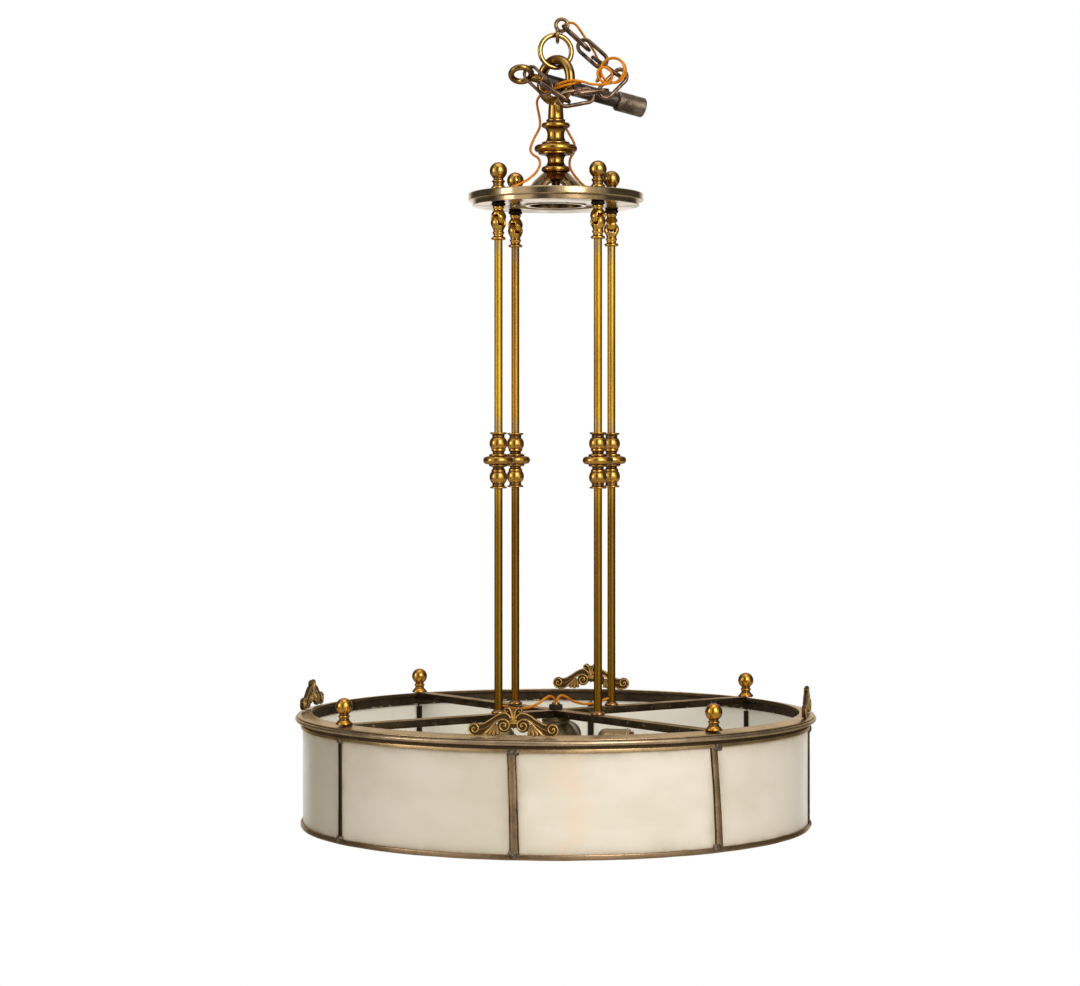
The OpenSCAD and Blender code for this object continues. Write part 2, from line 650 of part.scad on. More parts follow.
// Connector: a wide lower eye in the suspension ring and a round upper eye for the first link.
connector_bar = 4.4;
connector_l = 28;
connector_w = 18.4;
upper_eye_r = 7;
module chain_connector() color(brass) at_front() {
    low_z = hang_top + connector_w / 2 - 9.5;
    translate([2, 0.5, low_z]) rotate([0, 0, 90]) oval_ring(connector_l, connector_w, connector_bar);
    translate([7, 0.5, low_z + (connector_w - connector_bar) / 2 + 5.2]) rotate([90, 0, 0])
        rotate_extrude() translate([upper_eye_r, 0]) circle(connector_bar / 2);
}

// Where each link lies: its middle, then its tilt, yaw and roll. A roll of 90 turns it edge on.
chain = [
    [[24, -1, 31], [-43, -4, 90]],
    [[43, -0.6, 13.2], [-42, -13, 0]],
    [[60, -8, -4], [-36, -14, 90]],
    [[67, -14, -24], [45, 18, 0]],
    [[40, -26, -36], [8, 14, 90]],
    [[24, -27, -42], [11, 6, 0]],
    [[-2, -29.3, -36], [-33, 0, 90]],
    [[-20.5, -19.5, -21.5], [-43, -22, 0]]
];
module link(i) color(bronze) at_front() translate(chain[i][0])
    rotate([0, 0, chain[i][1][1]]) rotate([0, -chain[i][1][0], 0]) rotate([chain[i][1][2], 0, 0])
        oval_ring(link_l, link_w, link_wire);
module chain_link_1() link(0);
module chain_link_2() link(1);
module chain_link_3() link(2);
module chain_link_4() link(3);
module chain_link_5() link(4);
module chain_link_6() link(5);
module chain_link_7() link(6);
module chain_link_8() link(7);

// Ceiling eye, pipe and coupling, laid through the loop. X runs along the pipe from the eye's middle.
pipe_z = -22.5;                         // the pipe crosses the loop this far below the origin
pipe_yaw = 20;
pipe_fall = 12;
eye_reach = 44;
eye_roll = -35;
ceiling_eye_r = 11.8;
ceiling_eye_bar = 7.2;
shank_end = 28;
shank_r = 5;
pipe_wall = 2.3;
thread_l = 14;                          // depth of each screwed joint
pipe_end = shank_end + pipe_l - 8;
pipe_into = 9.8;                        // the pipe is screwed this deep into its coupling
open_thread_l = coupling_l - pipe_into - 0.2;
open_thread_r = pipe_d / 2 + 0.25;      // free end of the coupling, for the pipe above
coupling_start = pipe_end - pipe_into;
module along_pipe() at_front() translate([0, 0, pipe_z]) rotate([0, 0, pipe_yaw]) rotate([0, pipe_fall, 0])
    translate([-eye_reach, 0, 0]) children();
module along_x(x) translate([x, 0, 0]) rotate([0, 90, 0]) children();
module ceiling_eye() color(brass) along_pipe() {
    rotate([eye_roll, 0, 0]) rotate_extrude() translate([ceiling_eye_r, 0]) circle(ceiling_eye_bar / 2);
    along_x(ceiling_eye_r) rotate_extrude() {
        square([shank_r, shank_end - ceiling_eye_r]);
        bulge(shank_end - ceiling_eye_r - 3.4, shank_r + 2.4, 4, 2);
    }
    along_x(shank_end - 1) cylinder(h = thread_l + 1, r = pipe_d / 2 - pipe_wall - fit);
}
module ceiling_pipe() color(steel) along_pipe() along_x(shank_end) difference() {
    cylinder(h = pipe_end - shank_end, r = pipe_d / 2);
    translate([0, 0, -1]) cylinder(h = pipe_l + 2, r = pipe_d / 2 - pipe_wall);
}
module pipe_coupling() color(steel) along_pipe() along_x(coupling_start) difference() {
    rotate_extrude() polygon([
        [0, 0], [coupling_d / 2 - 1, 0], [coupling_d / 2, 1.4], [coupling_d / 2, coupling_l - 1.4],
        [coupling_d / 2 - 1, coupling_l], [0, coupling_l]
    ]);
    translate([0, 0, -1]) cylinder(h = coupling_l + 2, r = pipe_d / 2 + fit);
    translate([0, 0, coupling_l - open_thread_l]) cylinder(h = coupling_l, r = open_thread_r);
}

// Lamp wire. Its routes are points in front of the viewer; its coil and its turns round the loop
// follow a rule, and every stretch is swept as one tube.
function smooth(t) = let (u = min(max(t, 0), 1)) u * u * (3 - 2 * u);
function unit(v) = v / norm(v);
function heading(p, i) = unit(p[min(i + 1, len(p) - 1)] - p[max(i - 1, 0)]);
function across(v, t) = unit(v - (v * t) * t);
// Side vector of each ring, carried along the path without twisting.
function sides(p, up) = [for (i = 0, v = across(up, heading(p, 0)); i < len(p);
    i = i + 1, v = i < len(p) ? across(v, heading(p, i)) : v) v];
module tube(p, n, up = [0.3, 0.9, 0.2]) {
    v = sides(p, up);
    polyhedron(
        points = [for (i = [0:len(p) - 1]) let (t = heading(p, i), w = cross(t, v[i]))
            for (k = [0:n - 1]) p[i] + lamp_wire_d / 2 * (cos(360 * k / n) * v[i] + sin(360 * k / n) * w)],
        faces = concat(
            [[for (k = [n - 1:-1:0]) k]],
            [for (i = [0:len(p) - 2]) for (k = [0:n - 1]) for (f = [0, 1]) f == 0
                ? [i * n + k, i * n + (k + 1) % n, (i + 1) * n + (k + 1) % n]
                : [i * n + k, (i + 1) * n + (k + 1) % n, (i + 1) * n + k]],
            [[for (k = [0:n - 1]) (len(p) - 1) * n + k]]
        ),
        convexity = 10
    );
}

loop_rings = 24;                        // rings of the tube in each full turn
coil_turns = 2.75;
coil_big = 14.5;                        // radius of the first turns, and below it the last ones
coil_small = 9.5;
coil_pitch = 4.2;
coil_start = [67, -24.5, -10.5];
coil_end = [56, 0, -18.5];
coil_rings = [for (i = [0:coil_turns * loop_rings])
    let (t = i / loop_rings, b = smooth((t - 1.2) / 1.3), r = coil_big + (coil_small - coil_big) * b,
        a = 180 - 360 * t)
    [coil_start[0] + (coil_end[0] - coil_start[0]) * b + r * cos(a), coil_start[1] - coil_pitch * t,
        coil_start[2] + (coil_end[2] - coil_start[2]) * b + r * sin(a)]];
coil_path = concat([coil_rings[0] - [0, 0, lamp_wire_d]], coil_rings,
    [coil_rings[len(coil_rings) - 1] - [lamp_wire_d, 0, 0]]);
// Turns round the front bar of the loop.
wrap_mid = [14.5, -16.6, -22.6];
wrap_turns = [for (i = [0:27]) let (t = i / loop_rings, a = -90 - 360 * t)
    wrap_mid + [14.5 * cos(a), 9.4 * sin(a), 2.9 * cos(a) - 4.3 * t]];
// From the bare end behind the first link to the coil.
tail_route = [
    [9, 10, 44], [11, 10, 49], [17, 10, 51], [23, 9, 49], [28, 9, 43], [33, 12, 36], [39, 14, 28],
    [45, 13, 18], [49, 12, 9], [51, 10, 0], [51, 5, -9], [49, -3, -17], [47.5, -12, -21],
    [49.5, -19, -21.5], [51.5, -23.2, -18.5]
];
// From the coil to the turns round the loop.
bridge_route = [[47, -35.2, -28], [40, -33, -27], [31, -30.5, -24], [22, -28, -22.3]];
// From the loop down past the stem to the plate, in front and behind.
front_route = [
    [-3, -18, -31], [-10, -13, -33], [-17, -9, -36], [-22, -3, -43], [-21, 5, -52], [-19, 10, -62],
    [-19, 12, -72], [-24, 13, -82], [-28, 11, -91], [-30, 5, -99], [-27, -6, -106], [-20, -14, -112],
    [-19, -19, -121], [-24, -24, -130], [-33, -29, -138], [-43, -34, -144], [-51, -38, -147.5]
];
back_route = [
    [-2, 14, -46], [0, 14.5, -54], [6, 18, -62], [11, 19, -71], [17, 19, -81], [22, 19, -91],
    [22, 18, -100], [17, 17, -109], [17, 18, -119], [23, 21, -129], [33, 28, -139], [45, 35, -145],
    [52, 38.5, -147.5]
];
// The wire's way into the plate beside the rod at turn a, seen from the front.
function into_plate(a) = [for (d = [0, 6])
    [plate_wire_r * cos(a - front_turn), plate_wire_r * sin(a - front_turn), plate_top - hang_h - d]];
// Lead from the nipple along a crossbar to its rod: distance from the middle, and height over the bar.
lead_route = [
    [1.6, 0], [1.6, 9.5], [3.6, 14], [9, 16], [16, 13.5], [24, 9], [33, 6], [43, 4.2], [53, 4],
    [63, 5.2], [71, 7.6], [79, 9]
];
// Least gap between two stretches of a path more than n rings apart.
function self_gap(p, n) = min([for (i = [0:len(p) - 1 - n]) for (j = [i + n:len(p) - 1]) norm(p[i] - p[j])])
    - lamp_wire_d;
echo("least gap of the wire coil to itself", self_gap(coil_path, 8));
echo("least gap of the turns round the loop", self_gap(wrap_turns, 8));

module lamp_wire_coil() color(wire_gold) at_front() tube(coil_path, 6);
module lamp_wire_run() color(wire_gold) {
    at_front() {
        tube(concat(tail_route, [coil_path[0]]), 8);
        tube(concat([coil_path[len(coil_path) - 1]], bridge_route, wrap_turns, front_route,
            into_plate(rod_turns[2])), 8);
        tube(concat(back_route, into_plate(rod_turns[0])), 8);
    }
    from_drum() for (a = [rod_turns[0], rod_turns[2]]) rotate([0, 0, a])
        tube([for (q = lead_route) [q[0], 0, bar_top + q[1]]], 8);
}

gallery_ring();
inner_band();
glass_came();
bottom_ring();
glass_panel_1();
glass_panel_2();
glass_panel_3();
glass_panel_4();
glass_panel_5();
glass_panel_6();
glass_panel_7();
glass_panel_8();
mullions();
crest_1();
crest_2();
crest_3();
crest_4();
rim_finials();
cross_bar_1();
cross_bar_2();
centre_nut();
centre_nipple();
cluster_body();
cluster_cap();
lamp_arms();
lamp_holder_1();
lamp_holder_2();
lamp_holder_3();
lamp_holder_4();
screw_shells();
socket_insulators();
down_rod_1();
down_rod_2();
down_rod_3();
down_rod_4();
rod_collars();
rod_feet();
lower_eyes();
upper_eyes();
top_plate();
plate_finials();
spider();
stem();
stem_nut();
hook_loop();
suspension_ring();
chain_connector();
chain_link_1();
chain_link_2();
chain_link_3();
chain_link_4();
chain_link_5();
chain_link_6();
chain_link_7();
chain_link_8();
ceiling_eye();
ceiling_pipe();
pipe_coupling();
lamp_wire_coil();
lamp_wire_run();
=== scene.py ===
"""Brass downrod chandelier with a glass drum: its finishes, wire, castings and turnings."""

import math
import random

import bpy
import numpy as np
from mathutils import Matrix, Vector, noise


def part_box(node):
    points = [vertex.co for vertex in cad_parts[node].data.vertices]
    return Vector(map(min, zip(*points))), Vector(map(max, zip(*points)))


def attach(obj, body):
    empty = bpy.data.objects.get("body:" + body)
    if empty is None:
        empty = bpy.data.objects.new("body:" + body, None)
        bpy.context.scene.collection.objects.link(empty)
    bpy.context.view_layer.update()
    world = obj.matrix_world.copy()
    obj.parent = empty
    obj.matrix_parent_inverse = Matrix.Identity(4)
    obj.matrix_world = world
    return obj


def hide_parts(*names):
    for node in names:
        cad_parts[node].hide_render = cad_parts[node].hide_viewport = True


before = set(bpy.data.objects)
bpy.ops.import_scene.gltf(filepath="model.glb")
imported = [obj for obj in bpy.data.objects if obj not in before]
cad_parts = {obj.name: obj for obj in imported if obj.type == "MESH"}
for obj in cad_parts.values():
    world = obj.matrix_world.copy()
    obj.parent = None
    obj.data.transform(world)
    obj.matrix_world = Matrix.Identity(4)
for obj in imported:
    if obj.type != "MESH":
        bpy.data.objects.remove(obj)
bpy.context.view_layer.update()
scene = bpy.context.scene
scene.view_settings.view_transform = "Standard"

# Camera
# A long lens looks level at the stem from a little to the right of the front crest.
# The picture's centre lies left of the stem and below the lens's axis, so the lens is shifted.
picture_w = 1080
focal_px = 2704.7
camera_d = 3.179
camera_z = -0.4543
camera_turn = math.radians(8.84)
stem_px_off_centre = 15.8
horizon_px_off_centre = 41.75
sensor_w = 36.0
eye = bpy.data.objects.new("camera", bpy.data.cameras.new("camera"))
scene.collection.objects.link(eye)
eye.location = (camera_d * math.sin(camera_turn), -camera_d * math.cos(camera_turn), camera_z)
eye.rotation_euler = (math.pi / 2, 0, camera_turn)
eye.data.sensor_width = sensor_w
eye.data.lens = sensor_w * focal_px / picture_w
eye.data.shift_x = -stem_px_off_centre / picture_w
eye.data.shift_y = -horizon_px_off_centre / picture_w
eye.data.dof.use_dof = False
scene.camera = eye

# Lamp wire
# Gold plastic over a stranded core: one length runs from a bare end through its coil and its turns round
# the hook loop down into the plate, a second one lies behind the stem, and two leads feed their rods.
MM = 0.001
X, Y, Z = 0, 1, 2


class Socket:
    """One output of a node. Sums and products of sockets and numbers add Math nodes."""

    def __init__(self, bench, socket):
        self.bench, self.socket = bench, socket

    def maths(self, operation, *values):
        return self.bench.node("ShaderNodeMath", dict(enumerate(values)), operation=operation)

    def __add__(self, other):
        return self.maths("ADD", self, other)

    __radd__ = __add__

    def __sub__(self, other):
        return self.maths("SUBTRACT", self, other)

    def __rsub__(self, other):
        return self.maths("SUBTRACT", other, self)

    def __mul__(self, other):
        return self.maths("MULTIPLY", self, other)

    __rmul__ = __mul__

    def sine(self):
        return self.maths("SINE", self)

    def cosine(self):
        return self.maths("COSINE", self)

    def other(self, name):
        return Socket(self.bench, self.socket.node.outputs[name])


class Bench:
    """A tree of nodes under construction."""

    def __init__(self, tree):
        self.tree = tree
        tree.nodes.clear()

    def node(self, kind, sockets=None, out=0, **settings):
        """Adds a node, its settings first and then the values or links of its sockets."""
        made = self.tree.nodes.new(kind)
        for name, value in settings.items():
            setattr(made, name, value)
        for name, value in (sockets or {}).items():
            if isinstance(value, Socket):
                self.tree.links.new(value.socket, made.inputs[name])
            else:
                made.inputs[name].default_value = value
        return Socket(self, made.outputs[out]) if len(made.outputs) else None

    def ends(self, shape, finish):
        """Closes a Geometry Nodes tree: smooth faces, no instances and one finish."""
        shape = self.node("GeometryNodeSetShadeSmooth", {0: shape})
        shape = self.node("GeometryNodeRealizeInstances", {"Geometry": shape})
        shape = self.node("GeometryNodeSetMaterial", {"Geometry": shape, "Material": finish})
        self.node("NodeGroupOutput", {"Geometry": shape})


def tone(red, green, blue):
    """A colour read off as 0 to 255, as the shader takes it."""
    linear = [c / 255 / 12.92 if c <= 10 else ((c / 255 + 0.055) / 1.055) ** 2.4 for c in (red, green, blue)]
    return (*linear, 1.0)


class Finish(Bench):
    """The finish of one material, from Object coordinates and the values painted on the mesh."""

    def __init__(self, name):
        self.material = bpy.data.materials.new(name)
        self.material.use_nodes = True
        super().__init__(self.material.node_tree)
        self.place = self.node("ShaderNodeTexCoord", out="Object")

    def grain(self, per_metre, squash=(1, 1, 1), detail=3.0, rough=0.55, shift=0.0):
        """Cloudy pattern, about 0 to 1, finer with more waves in a metre."""
        at = self.node("ShaderNodeMapping", {
            "Vector": self.place, "Scale": squash, "Location": (shift, shift * 0.7, shift * 1.3)})
        return self.node("ShaderNodeTexNoise", {
            "Vector": at, "Scale": per_metre, "Detail": detail, "Roughness": rough}, "Fac")

    def step(self, value, low, high):
        """0 below low, 1 above high and smooth in between."""
        return self.node("ShaderNodeMapRange", {"Value": value, "From Min": low, "From Max": high},
                         interpolation_type="SMOOTHSTEP")

    def patches(self, per_metre, low, high, **more):
        """The high spots of the grain: 0 where it is below low, 1 above high."""
        return self.step(self.grain(per_metre, **more), low, high)

    def painted(self, name):
        return self.node("ShaderNodeAttribute", out="Fac", attribute_name=name)

    def mix(self, first, second, share):
        """A blend of two colours, each a socket or red, green and blue from 0 to 255."""
        first, second = (c if isinstance(c, Socket) else tone(*c) for c in (first, second))
        return self.node("ShaderNodeMix", {0: share, 6: first, 7: second}, 2, data_type="RGBA")

    def upward(self):
        """The height part of the surface's normal: 1 on level tops."""
        facing = self.node("ShaderNodeNewGeometry", out="Normal")
        return self.node("ShaderNodeSeparateXYZ", {"Vector": facing}, "Z")

    def height(self):
        return self.node("ShaderNodeSeparateXYZ", {"Vector": self.place}, "Z")

    def done(self, colour, rough, metal=1.0, bump=None, depth=0.0002, **constants):
        sockets = {"Base Color": colour, "Roughness": rough, "Metallic": metal}
        sockets.update({name.replace("_", " "): value for name, value in constants.items()})
        if bump is not None:
            sockets["Normal"] = self.node(
                "ShaderNodeBump", {"Height": bump, "Distance": depth, "Strength": 1.0})
        shader = self.node("ShaderNodeBsdfPrincipled", sockets)
        self.node("ShaderNodeOutputMaterial", {"Surface": shader})
        return self.material


def tree_of(name, *inputs):
    """A Geometry Nodes tree with named inputs: its bench, and a dict of its input sockets."""
    tree = bpy.data.node_groups.new(name, "GeometryNodeTree")
    for label, kind in inputs:
        tree.interface.new_socket(label, in_out="INPUT", socket_type="NodeSocket" + kind)
    tree.interface.new_socket("Geometry", in_out="OUTPUT", socket_type="NodeSocketGeometry")
    bench = Bench(tree)
    first = bench.node("NodeGroupInput")
    return bench, {label: first.other(label) for label, _ in inputs}


def settled(rough):
    """The plain mesh that an object's modifiers make. The object itself goes."""
    ready = rough.evaluated_get(bpy.context.evaluated_depsgraph_get())
    mesh = bpy.data.meshes.new_from_object(ready)
    bpy.data.objects.remove(rough)
    return mesh


def made_by(bench, source, name, **values):
    """The tree's result on a mesh or curve, as a plain mesh object with no modifier."""
    rough = bpy.data.objects.new(name, source)
    scene.collection.objects.link(rough)
    shape = rough.modifiers.new("shape", "NODES")
    shape.node_group = bench.tree
    for socket in bench.tree.interface.items_tree:
        label = socket.name.replace(" ", "_")
        if socket.in_out == "INPUT" and label in values:
            shape[socket.identifier] = values[label]
    return piece(name, settled(rough))


def piece(name, mesh, material=None):
    made = bpy.data.objects.new(name, mesh)
    scene.collection.objects.link(made)
    mesh.name = name
    if material is not None:
        mesh.materials.clear()
        mesh.materials.append(material)
    return made


def belongs(made, slot, *stands_for, body="frame"):
    """Hangs a finished piece on its body and hides the CAD nodes that it stands for. The slot is not used."""
    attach(made, body)
    if stands_for:
        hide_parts(*stands_for)
    return made


def line_curve(points, closed=False):
    """A straight-sided curve through points in metres."""
    data = bpy.data.curves.new("line", "CURVE")
    data.dimensions = "3D"
    spline = data.splines.new("POLY")
    spline.points.add(len(points) - 1)
    for at, point in zip(spline.points, points):
        at.co = (*point, 1)
    spline.use_cyclic_u = closed
    return data


def eased(points, steps=4):
    """A smooth route through given points, in millimetres."""
    known = [Vector(p) for p in points]
    ends = [2 * known[0] - known[1], *known, 2 * known[-1] - known[-2]]
    route = []
    for a, b, c, d in zip(ends, ends[1:], ends[2:], ends[3:]):
        for k in range(steps):
            t = k / steps
            route.append(0.5 * ((2 * b) + (c - a) * t + (2 * a - 5 * b + 4 * c - d) * t * t
                                + (3 * b - a - 3 * c + d) * t ** 3))
    return [*route, known[-1]]


def span(node, axis):
    """The lowest and the highest place of a CAD node along an axis, in millimetres."""
    low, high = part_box(node)
    return low[axis] / MM, high[axis] / MM


front_turn = math.radians(9)
to_front = Matrix.Rotation(front_turn, 4, "Z")
wire_d = 3.0
turn_points = 24
coil_start, coil_end = Vector((67, -24.5, -10.5)), Vector((56, 0, -18.5))
coil_big, coil_small, coil_pitch, coil_turns = 14.5, 9.5, 4.2, 2.75
shrinks_from, shrinks_over = 1.2, 1.3
wrap_mid = Vector((14.5, -16.6, -22.6))
wrap_wide, wrap_deep, wrap_tilt, wrap_drop = 14.5, 9.4, 2.9, 4.3
rod_turn_front, rod_turn_back = math.radians(225), math.radians(45)


def smooth(t):
    u = min(max(t, 0), 1)
    return u * u * (3 - 2 * u)


def coil_point(i):
    """A point of the coil, whose later turns are smaller and lie nearer to the loop."""
    t = i / turn_points
    b = smooth((t - shrinks_from) / shrinks_over)
    r = coil_big + (coil_small - coil_big) * b
    a = math.radians(180 - 360 * t)
    return Vector((coil_start.x + (coil_end.x - coil_start.x) * b + r * math.cos(a),
                   coil_start.y - coil_pitch * t,
                   coil_start.z + (coil_end.z - coil_start.z) * b + r * math.sin(a)))


def wrap_point(i):
    """A point of the turns round the hook loop."""
    t = i / turn_points
    a = math.radians(-90 - 360 * t)
    return wrap_mid + Vector((wrap_wide * math.cos(a), wrap_deep * math.sin(a),
                              wrap_tilt * math.cos(a) - wrap_drop * t))


plate_lo, plate_top = span("top_plate", Z)
rod_low, rod_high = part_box("down_rod_1")
rod_ring_r = ((rod_low + rod_high) / 2).xy.length / MM
plate_wire_r = rod_ring_r - 14
bar_lo, bar_top = span("cross_bar_1", Z)


def into_plate(turn):
    """The end of a wire, down through its hole in the plate."""
    a = turn - front_turn
    return [(plate_wire_r * math.cos(a), plate_wire_r * math.sin(a), plate_top - d) for d in (0, 6)]


coil = [coil_point(i) for i in range(int(coil_turns * turn_points) + 1)]
coil = [coil[0] - Vector((0, 0, wire_d)), *coil, coil[-1] - Vector((wire_d, 0, 0))]
tail_route = [
    (9, 10, 44), (11, 10, 49), (17, 10, 51), (23, 9, 49), (28, 9, 43), (33, 12, 36), (39, 14, 28),
    (45, 13, 18), (49, 12, 9), (51, 10, 0), (51, 5, -9), (49, -3, -17), (47.5, -12, -21),
    (49.5, -19, -21.5), (51.5, -23.2, -18.5)]
bridge_route = [(47, -35.2, -28), (40, -33, -27), (31, -30.5, -24), (22, -28, -22.3)]
front_route = [
    (-3, -18, -31), (-10, -13, -33), (-17, -9, -36), (-22, -3, -43), (-21, 5, -52), (-19, 10, -62),
    (-19, 12, -72), (-24, 13, -82), (-28, 11, -91), (-30, 5, -99), (-27, -6, -106), (-20, -14, -112),
    (-19, -19, -121), (-24, -24, -130), (-33, -29, -138), (-43, -34, -144), (-51, -38, -147.5)]
back_route = [
    (-2, 14, -46), (0, 14.5, -54), (6, 18, -62), (11, 19, -71), (17, 19, -81), (22, 19, -91),
    (22, 18, -100), (17, 17, -109), (17, 18, -119), (23, 21, -129), (33, 28, -139), (45, 35, -145),
    (52, 38.5, -147.5)]
lead_route = [
    (1.6, 0), (1.6, 9.5), (3.6, 14), (9, 16), (16, 13.5), (24, 9), (33, 6), (43, 4.2), (53, 4),
    (63, 5.2), (71, 7.6), (79, 9)]
long_wire = eased([*tail_route, *coil, *bridge_route, *[wrap_point(i) for i in range(28)],
                   *front_route, *into_plate(rod_turn_front)])
back_wire = eased([*back_route, *into_plate(rod_turn_back)])


def marked(bench, shape, name, value):
    """Keeps a value at each point of a curve for the finish."""
    return bench.node("GeometryNodeStoreNamedAttribute", {"Geometry": shape, "Name": name, "Value": value},
                      data_type="FLOAT", domain="POINT")


sweep, given = tree_of(
    "wire along its route", ("Route", "Geometry"), ("Thickness", "Float"), ("Sides", "Int"),
    ("Finish", "Material"))
route = marked(sweep, given["Route"], "along", sweep.node("GeometryNodeSplineParameter", out="Length"))
circle = sweep.node("GeometryNodeCurvePrimitiveCircle", {
    "Resolution": given["Sides"], "Radius": given["Thickness"] * 0.5}, mode="RADIUS")
circle = marked(sweep, circle, "around", sweep.node("GeometryNodeSplineParameter", out="Factor"))
tube = sweep.node("GeometryNodeCurveToMesh", {"Curve": route, "Profile Curve": circle, "Fill Caps": True})
sweep.ends(tube, given["Finish"])


def gold_plastic():
    """Plastic with two ridges that wind along it, as the strands inside do."""
    f = Finish("gold_lamp_wire")
    winding, ridges = 520, 2
    ridge = (f.painted("along") * winding + f.painted("around") * 6.2832 * ridges).sine()
    # The ridges' crests are painted lighter as a painted highlight, the grooves between them darker as
    # painted shade.
    colour = f.mix((214, 124, 14), (240, 158, 40), f.step(ridge, -0.6, 1.0) * 0.55)
    colour = f.mix(colour, (158, 84, 10), f.patches(90, 0.42, 0.7) * 0.55)
    return f.done(colour, f.grain(400) * 0.15 + 0.38, 0.25, bump=ridge, depth=0.00012,
                  Specular_Tint=tone(255, 190, 100))


wire_finish = gold_plastic()


def lamp_wire(name, route, turn, exit_at, far_end):
    line = [turn @ (Vector(p) * MM) for p in route]
    made = made_by(sweep, line_curve(line), name, Thickness=wire_d * MM, Sides=14, Finish=wire_finish)
    long = sum((b - a).length for a, b in zip(line, line[1:]))
    belongs(made, "lamp_wire")
    return made, line, dict(exit=line[exit_at], length=round(long, 3), diameter=wire_d * MM,
                            far_end=far_end, stiffness="limp", path=[tuple(p) for p in line])


front_wire, front_line, front_facts = lamp_wire("lamp_wire_front", long_wire, to_front, -1, "bare")
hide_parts("lamp_wire_coil", "lamp_wire_run")
rear_wire, rear_line, rear_facts = lamp_wire("lamp_wire_rear", back_wire, to_front, -1, "bare")
for n, turn in enumerate((rod_turn_back, rod_turn_front), 1):
    route = eased([(x, 0, bar_top + z) for x, z in lead_route])
    lamp_wire(f"lamp_wire_lead_{n}", route, Matrix.Rotation(turn, 4, "Z"), 0, "object")

# Bare strands
# Seven twisted copper strands that stand out of the plastic at each of the two ends that are tied up.
strand_d, strand_l, strand_root, strand_twist = 0.36, 8.0, 0.4, 2.6


def copper_wire():
    f = Finish("bare_copper_strands")
    return f.done(f.mix((198, 112, 62), (150, 82, 50), f.patches(300, 0.4, 0.7)), 0.32)


strand_finish = copper_wire()


def joined(parts):
    """One object from several, each in place."""
    with bpy.context.temp_override(active_object=parts[0], selected_editable_objects=parts):
        bpy.ops.object.join()
    return parts[0]


def bare_strands(name, line):
    """Six strands twisted round a seventh, past the end of the plastic."""
    end, out = line[0], (line[0] - line[3]).normalized()
    side = out.orthogonal().normalized()
    strands = []
    for k in range(7):
        r = 0 if k == 6 else strand_d
        route = []
        for i in range(13):
            t = i / 12
            away = Matrix.Rotation(k * math.tau / 6 + t * strand_twist, 3, out) @ side
            route.append(end + (out * (t * strand_l - strand_root) + away * r * (1 + 0.5 * t * t)) * MM)
        strands.append(made_by(sweep, line_curve(route), name, Thickness=strand_d * MM, Sides=6,
                               Finish=strand_finish))
    return belongs(joined(strands), "lamp_wire")


front_strands = bare_strands("bare_strands_front", front_line)
rear_strands = bare_strands("bare_strands_rear", rear_line)

# Bottom ring
# A band of brass angle that the glass stands in, bent by hand, so it is a little lumpy.
# Its joints are soldered to the strips between the panes.


def paint(mesh, name, values):
    """Keeps a value at each point of a mesh for its finish."""
    mesh.attributes.new(name, "FLOAT", "POINT").data.foreach_set("value", values)


def mesh_of(points, faces, **painted):
    """A mesh, with the values at its points that its finish reads."""
    mesh = bpy.data.meshes.new("shape")
    mesh.from_pydata(points, [], faces)
    for name, values in painted.items():
        paint(mesh, name, values)
    return mesh


def revolve(outline, sides, wobble=None, closed=True, hollow=None):
    """A mesh turned about the stem from an outline of radius and height, counterclockwise, in millimetres."""
    rings = len(outline)
    flat = np.array(outline, float)
    turns = np.arange(sides) * math.tau / sides
    r, z = (np.repeat(flat[:, k], sides).reshape(rings, sides) for k in (0, 1))
    if wobble is not None:
        wide, high = wobble(turns)
        r, z = r + wide, z + high
    points = np.stack([r * np.cos(turns), r * np.sin(turns), z], axis=2).reshape(-1, 3) * MM
    faces = []
    for i in range(rings if closed else rings - 1):
        for j in range(sides):
            k, m = (i + 1) % rings, (j + 1) % sides
            faces.append((i * sides + j, i * sides + m, k * sides + m, k * sides + j))
    if not closed:
        faces.append(tuple(range(sides - 1, -1, -1)))
        faces.append(tuple((rings - 1) * sides + j for j in range(sides)))
    mesh = mesh_of(points.tolist(), faces)
    if hollow is not None:
        paint(mesh, "hollow", np.repeat(np.array(hollow, float), sides))
    mesh.shade_smooth()
    return mesh


def rounded(corners, radius, steps=4):
    """An outline with its corners rounded: (r, z) or (r, z, own radius) for each corner."""
    outline = []
    count = len(corners)
    for i, corner in enumerate(corners):
        here = Vector(corner[:2])
        before, after = Vector(corners[i - 1][:2]), Vector(corners[(i + 1) % count][:2])
        own = corner[2] if len(corner) > 2 else radius
        back = (before - here).normalized() * min(own, (before - here).length * 0.45)
        on = (after - here).normalized() * min(own, (after - here).length * 0.45)
        for k in range(steps + 1):
            t = k / steps
            outline.append(here + back * (1 - t) ** 2 + on * t ** 2)
    return [(p.x, p.y) for p in outline]


def hand_bent(seed, size):
    """Small waves in radius and height round a hoop, in millimetres."""
    draw = random.Random(seed)
    waves = [(n, draw.uniform(-1, 1), draw.uniform(0, math.tau)) for n in (5, 8, 13, 21, 34, 55)]

    def wobble(turns):
        r = sum(a * np.sin(n * turns + p) for n, a, p in waves) * size / 3
        z = sum(a * np.sin(n * turns + p * 2) for n, a, p in waves) * size / 4
        return r, z
    return wobble


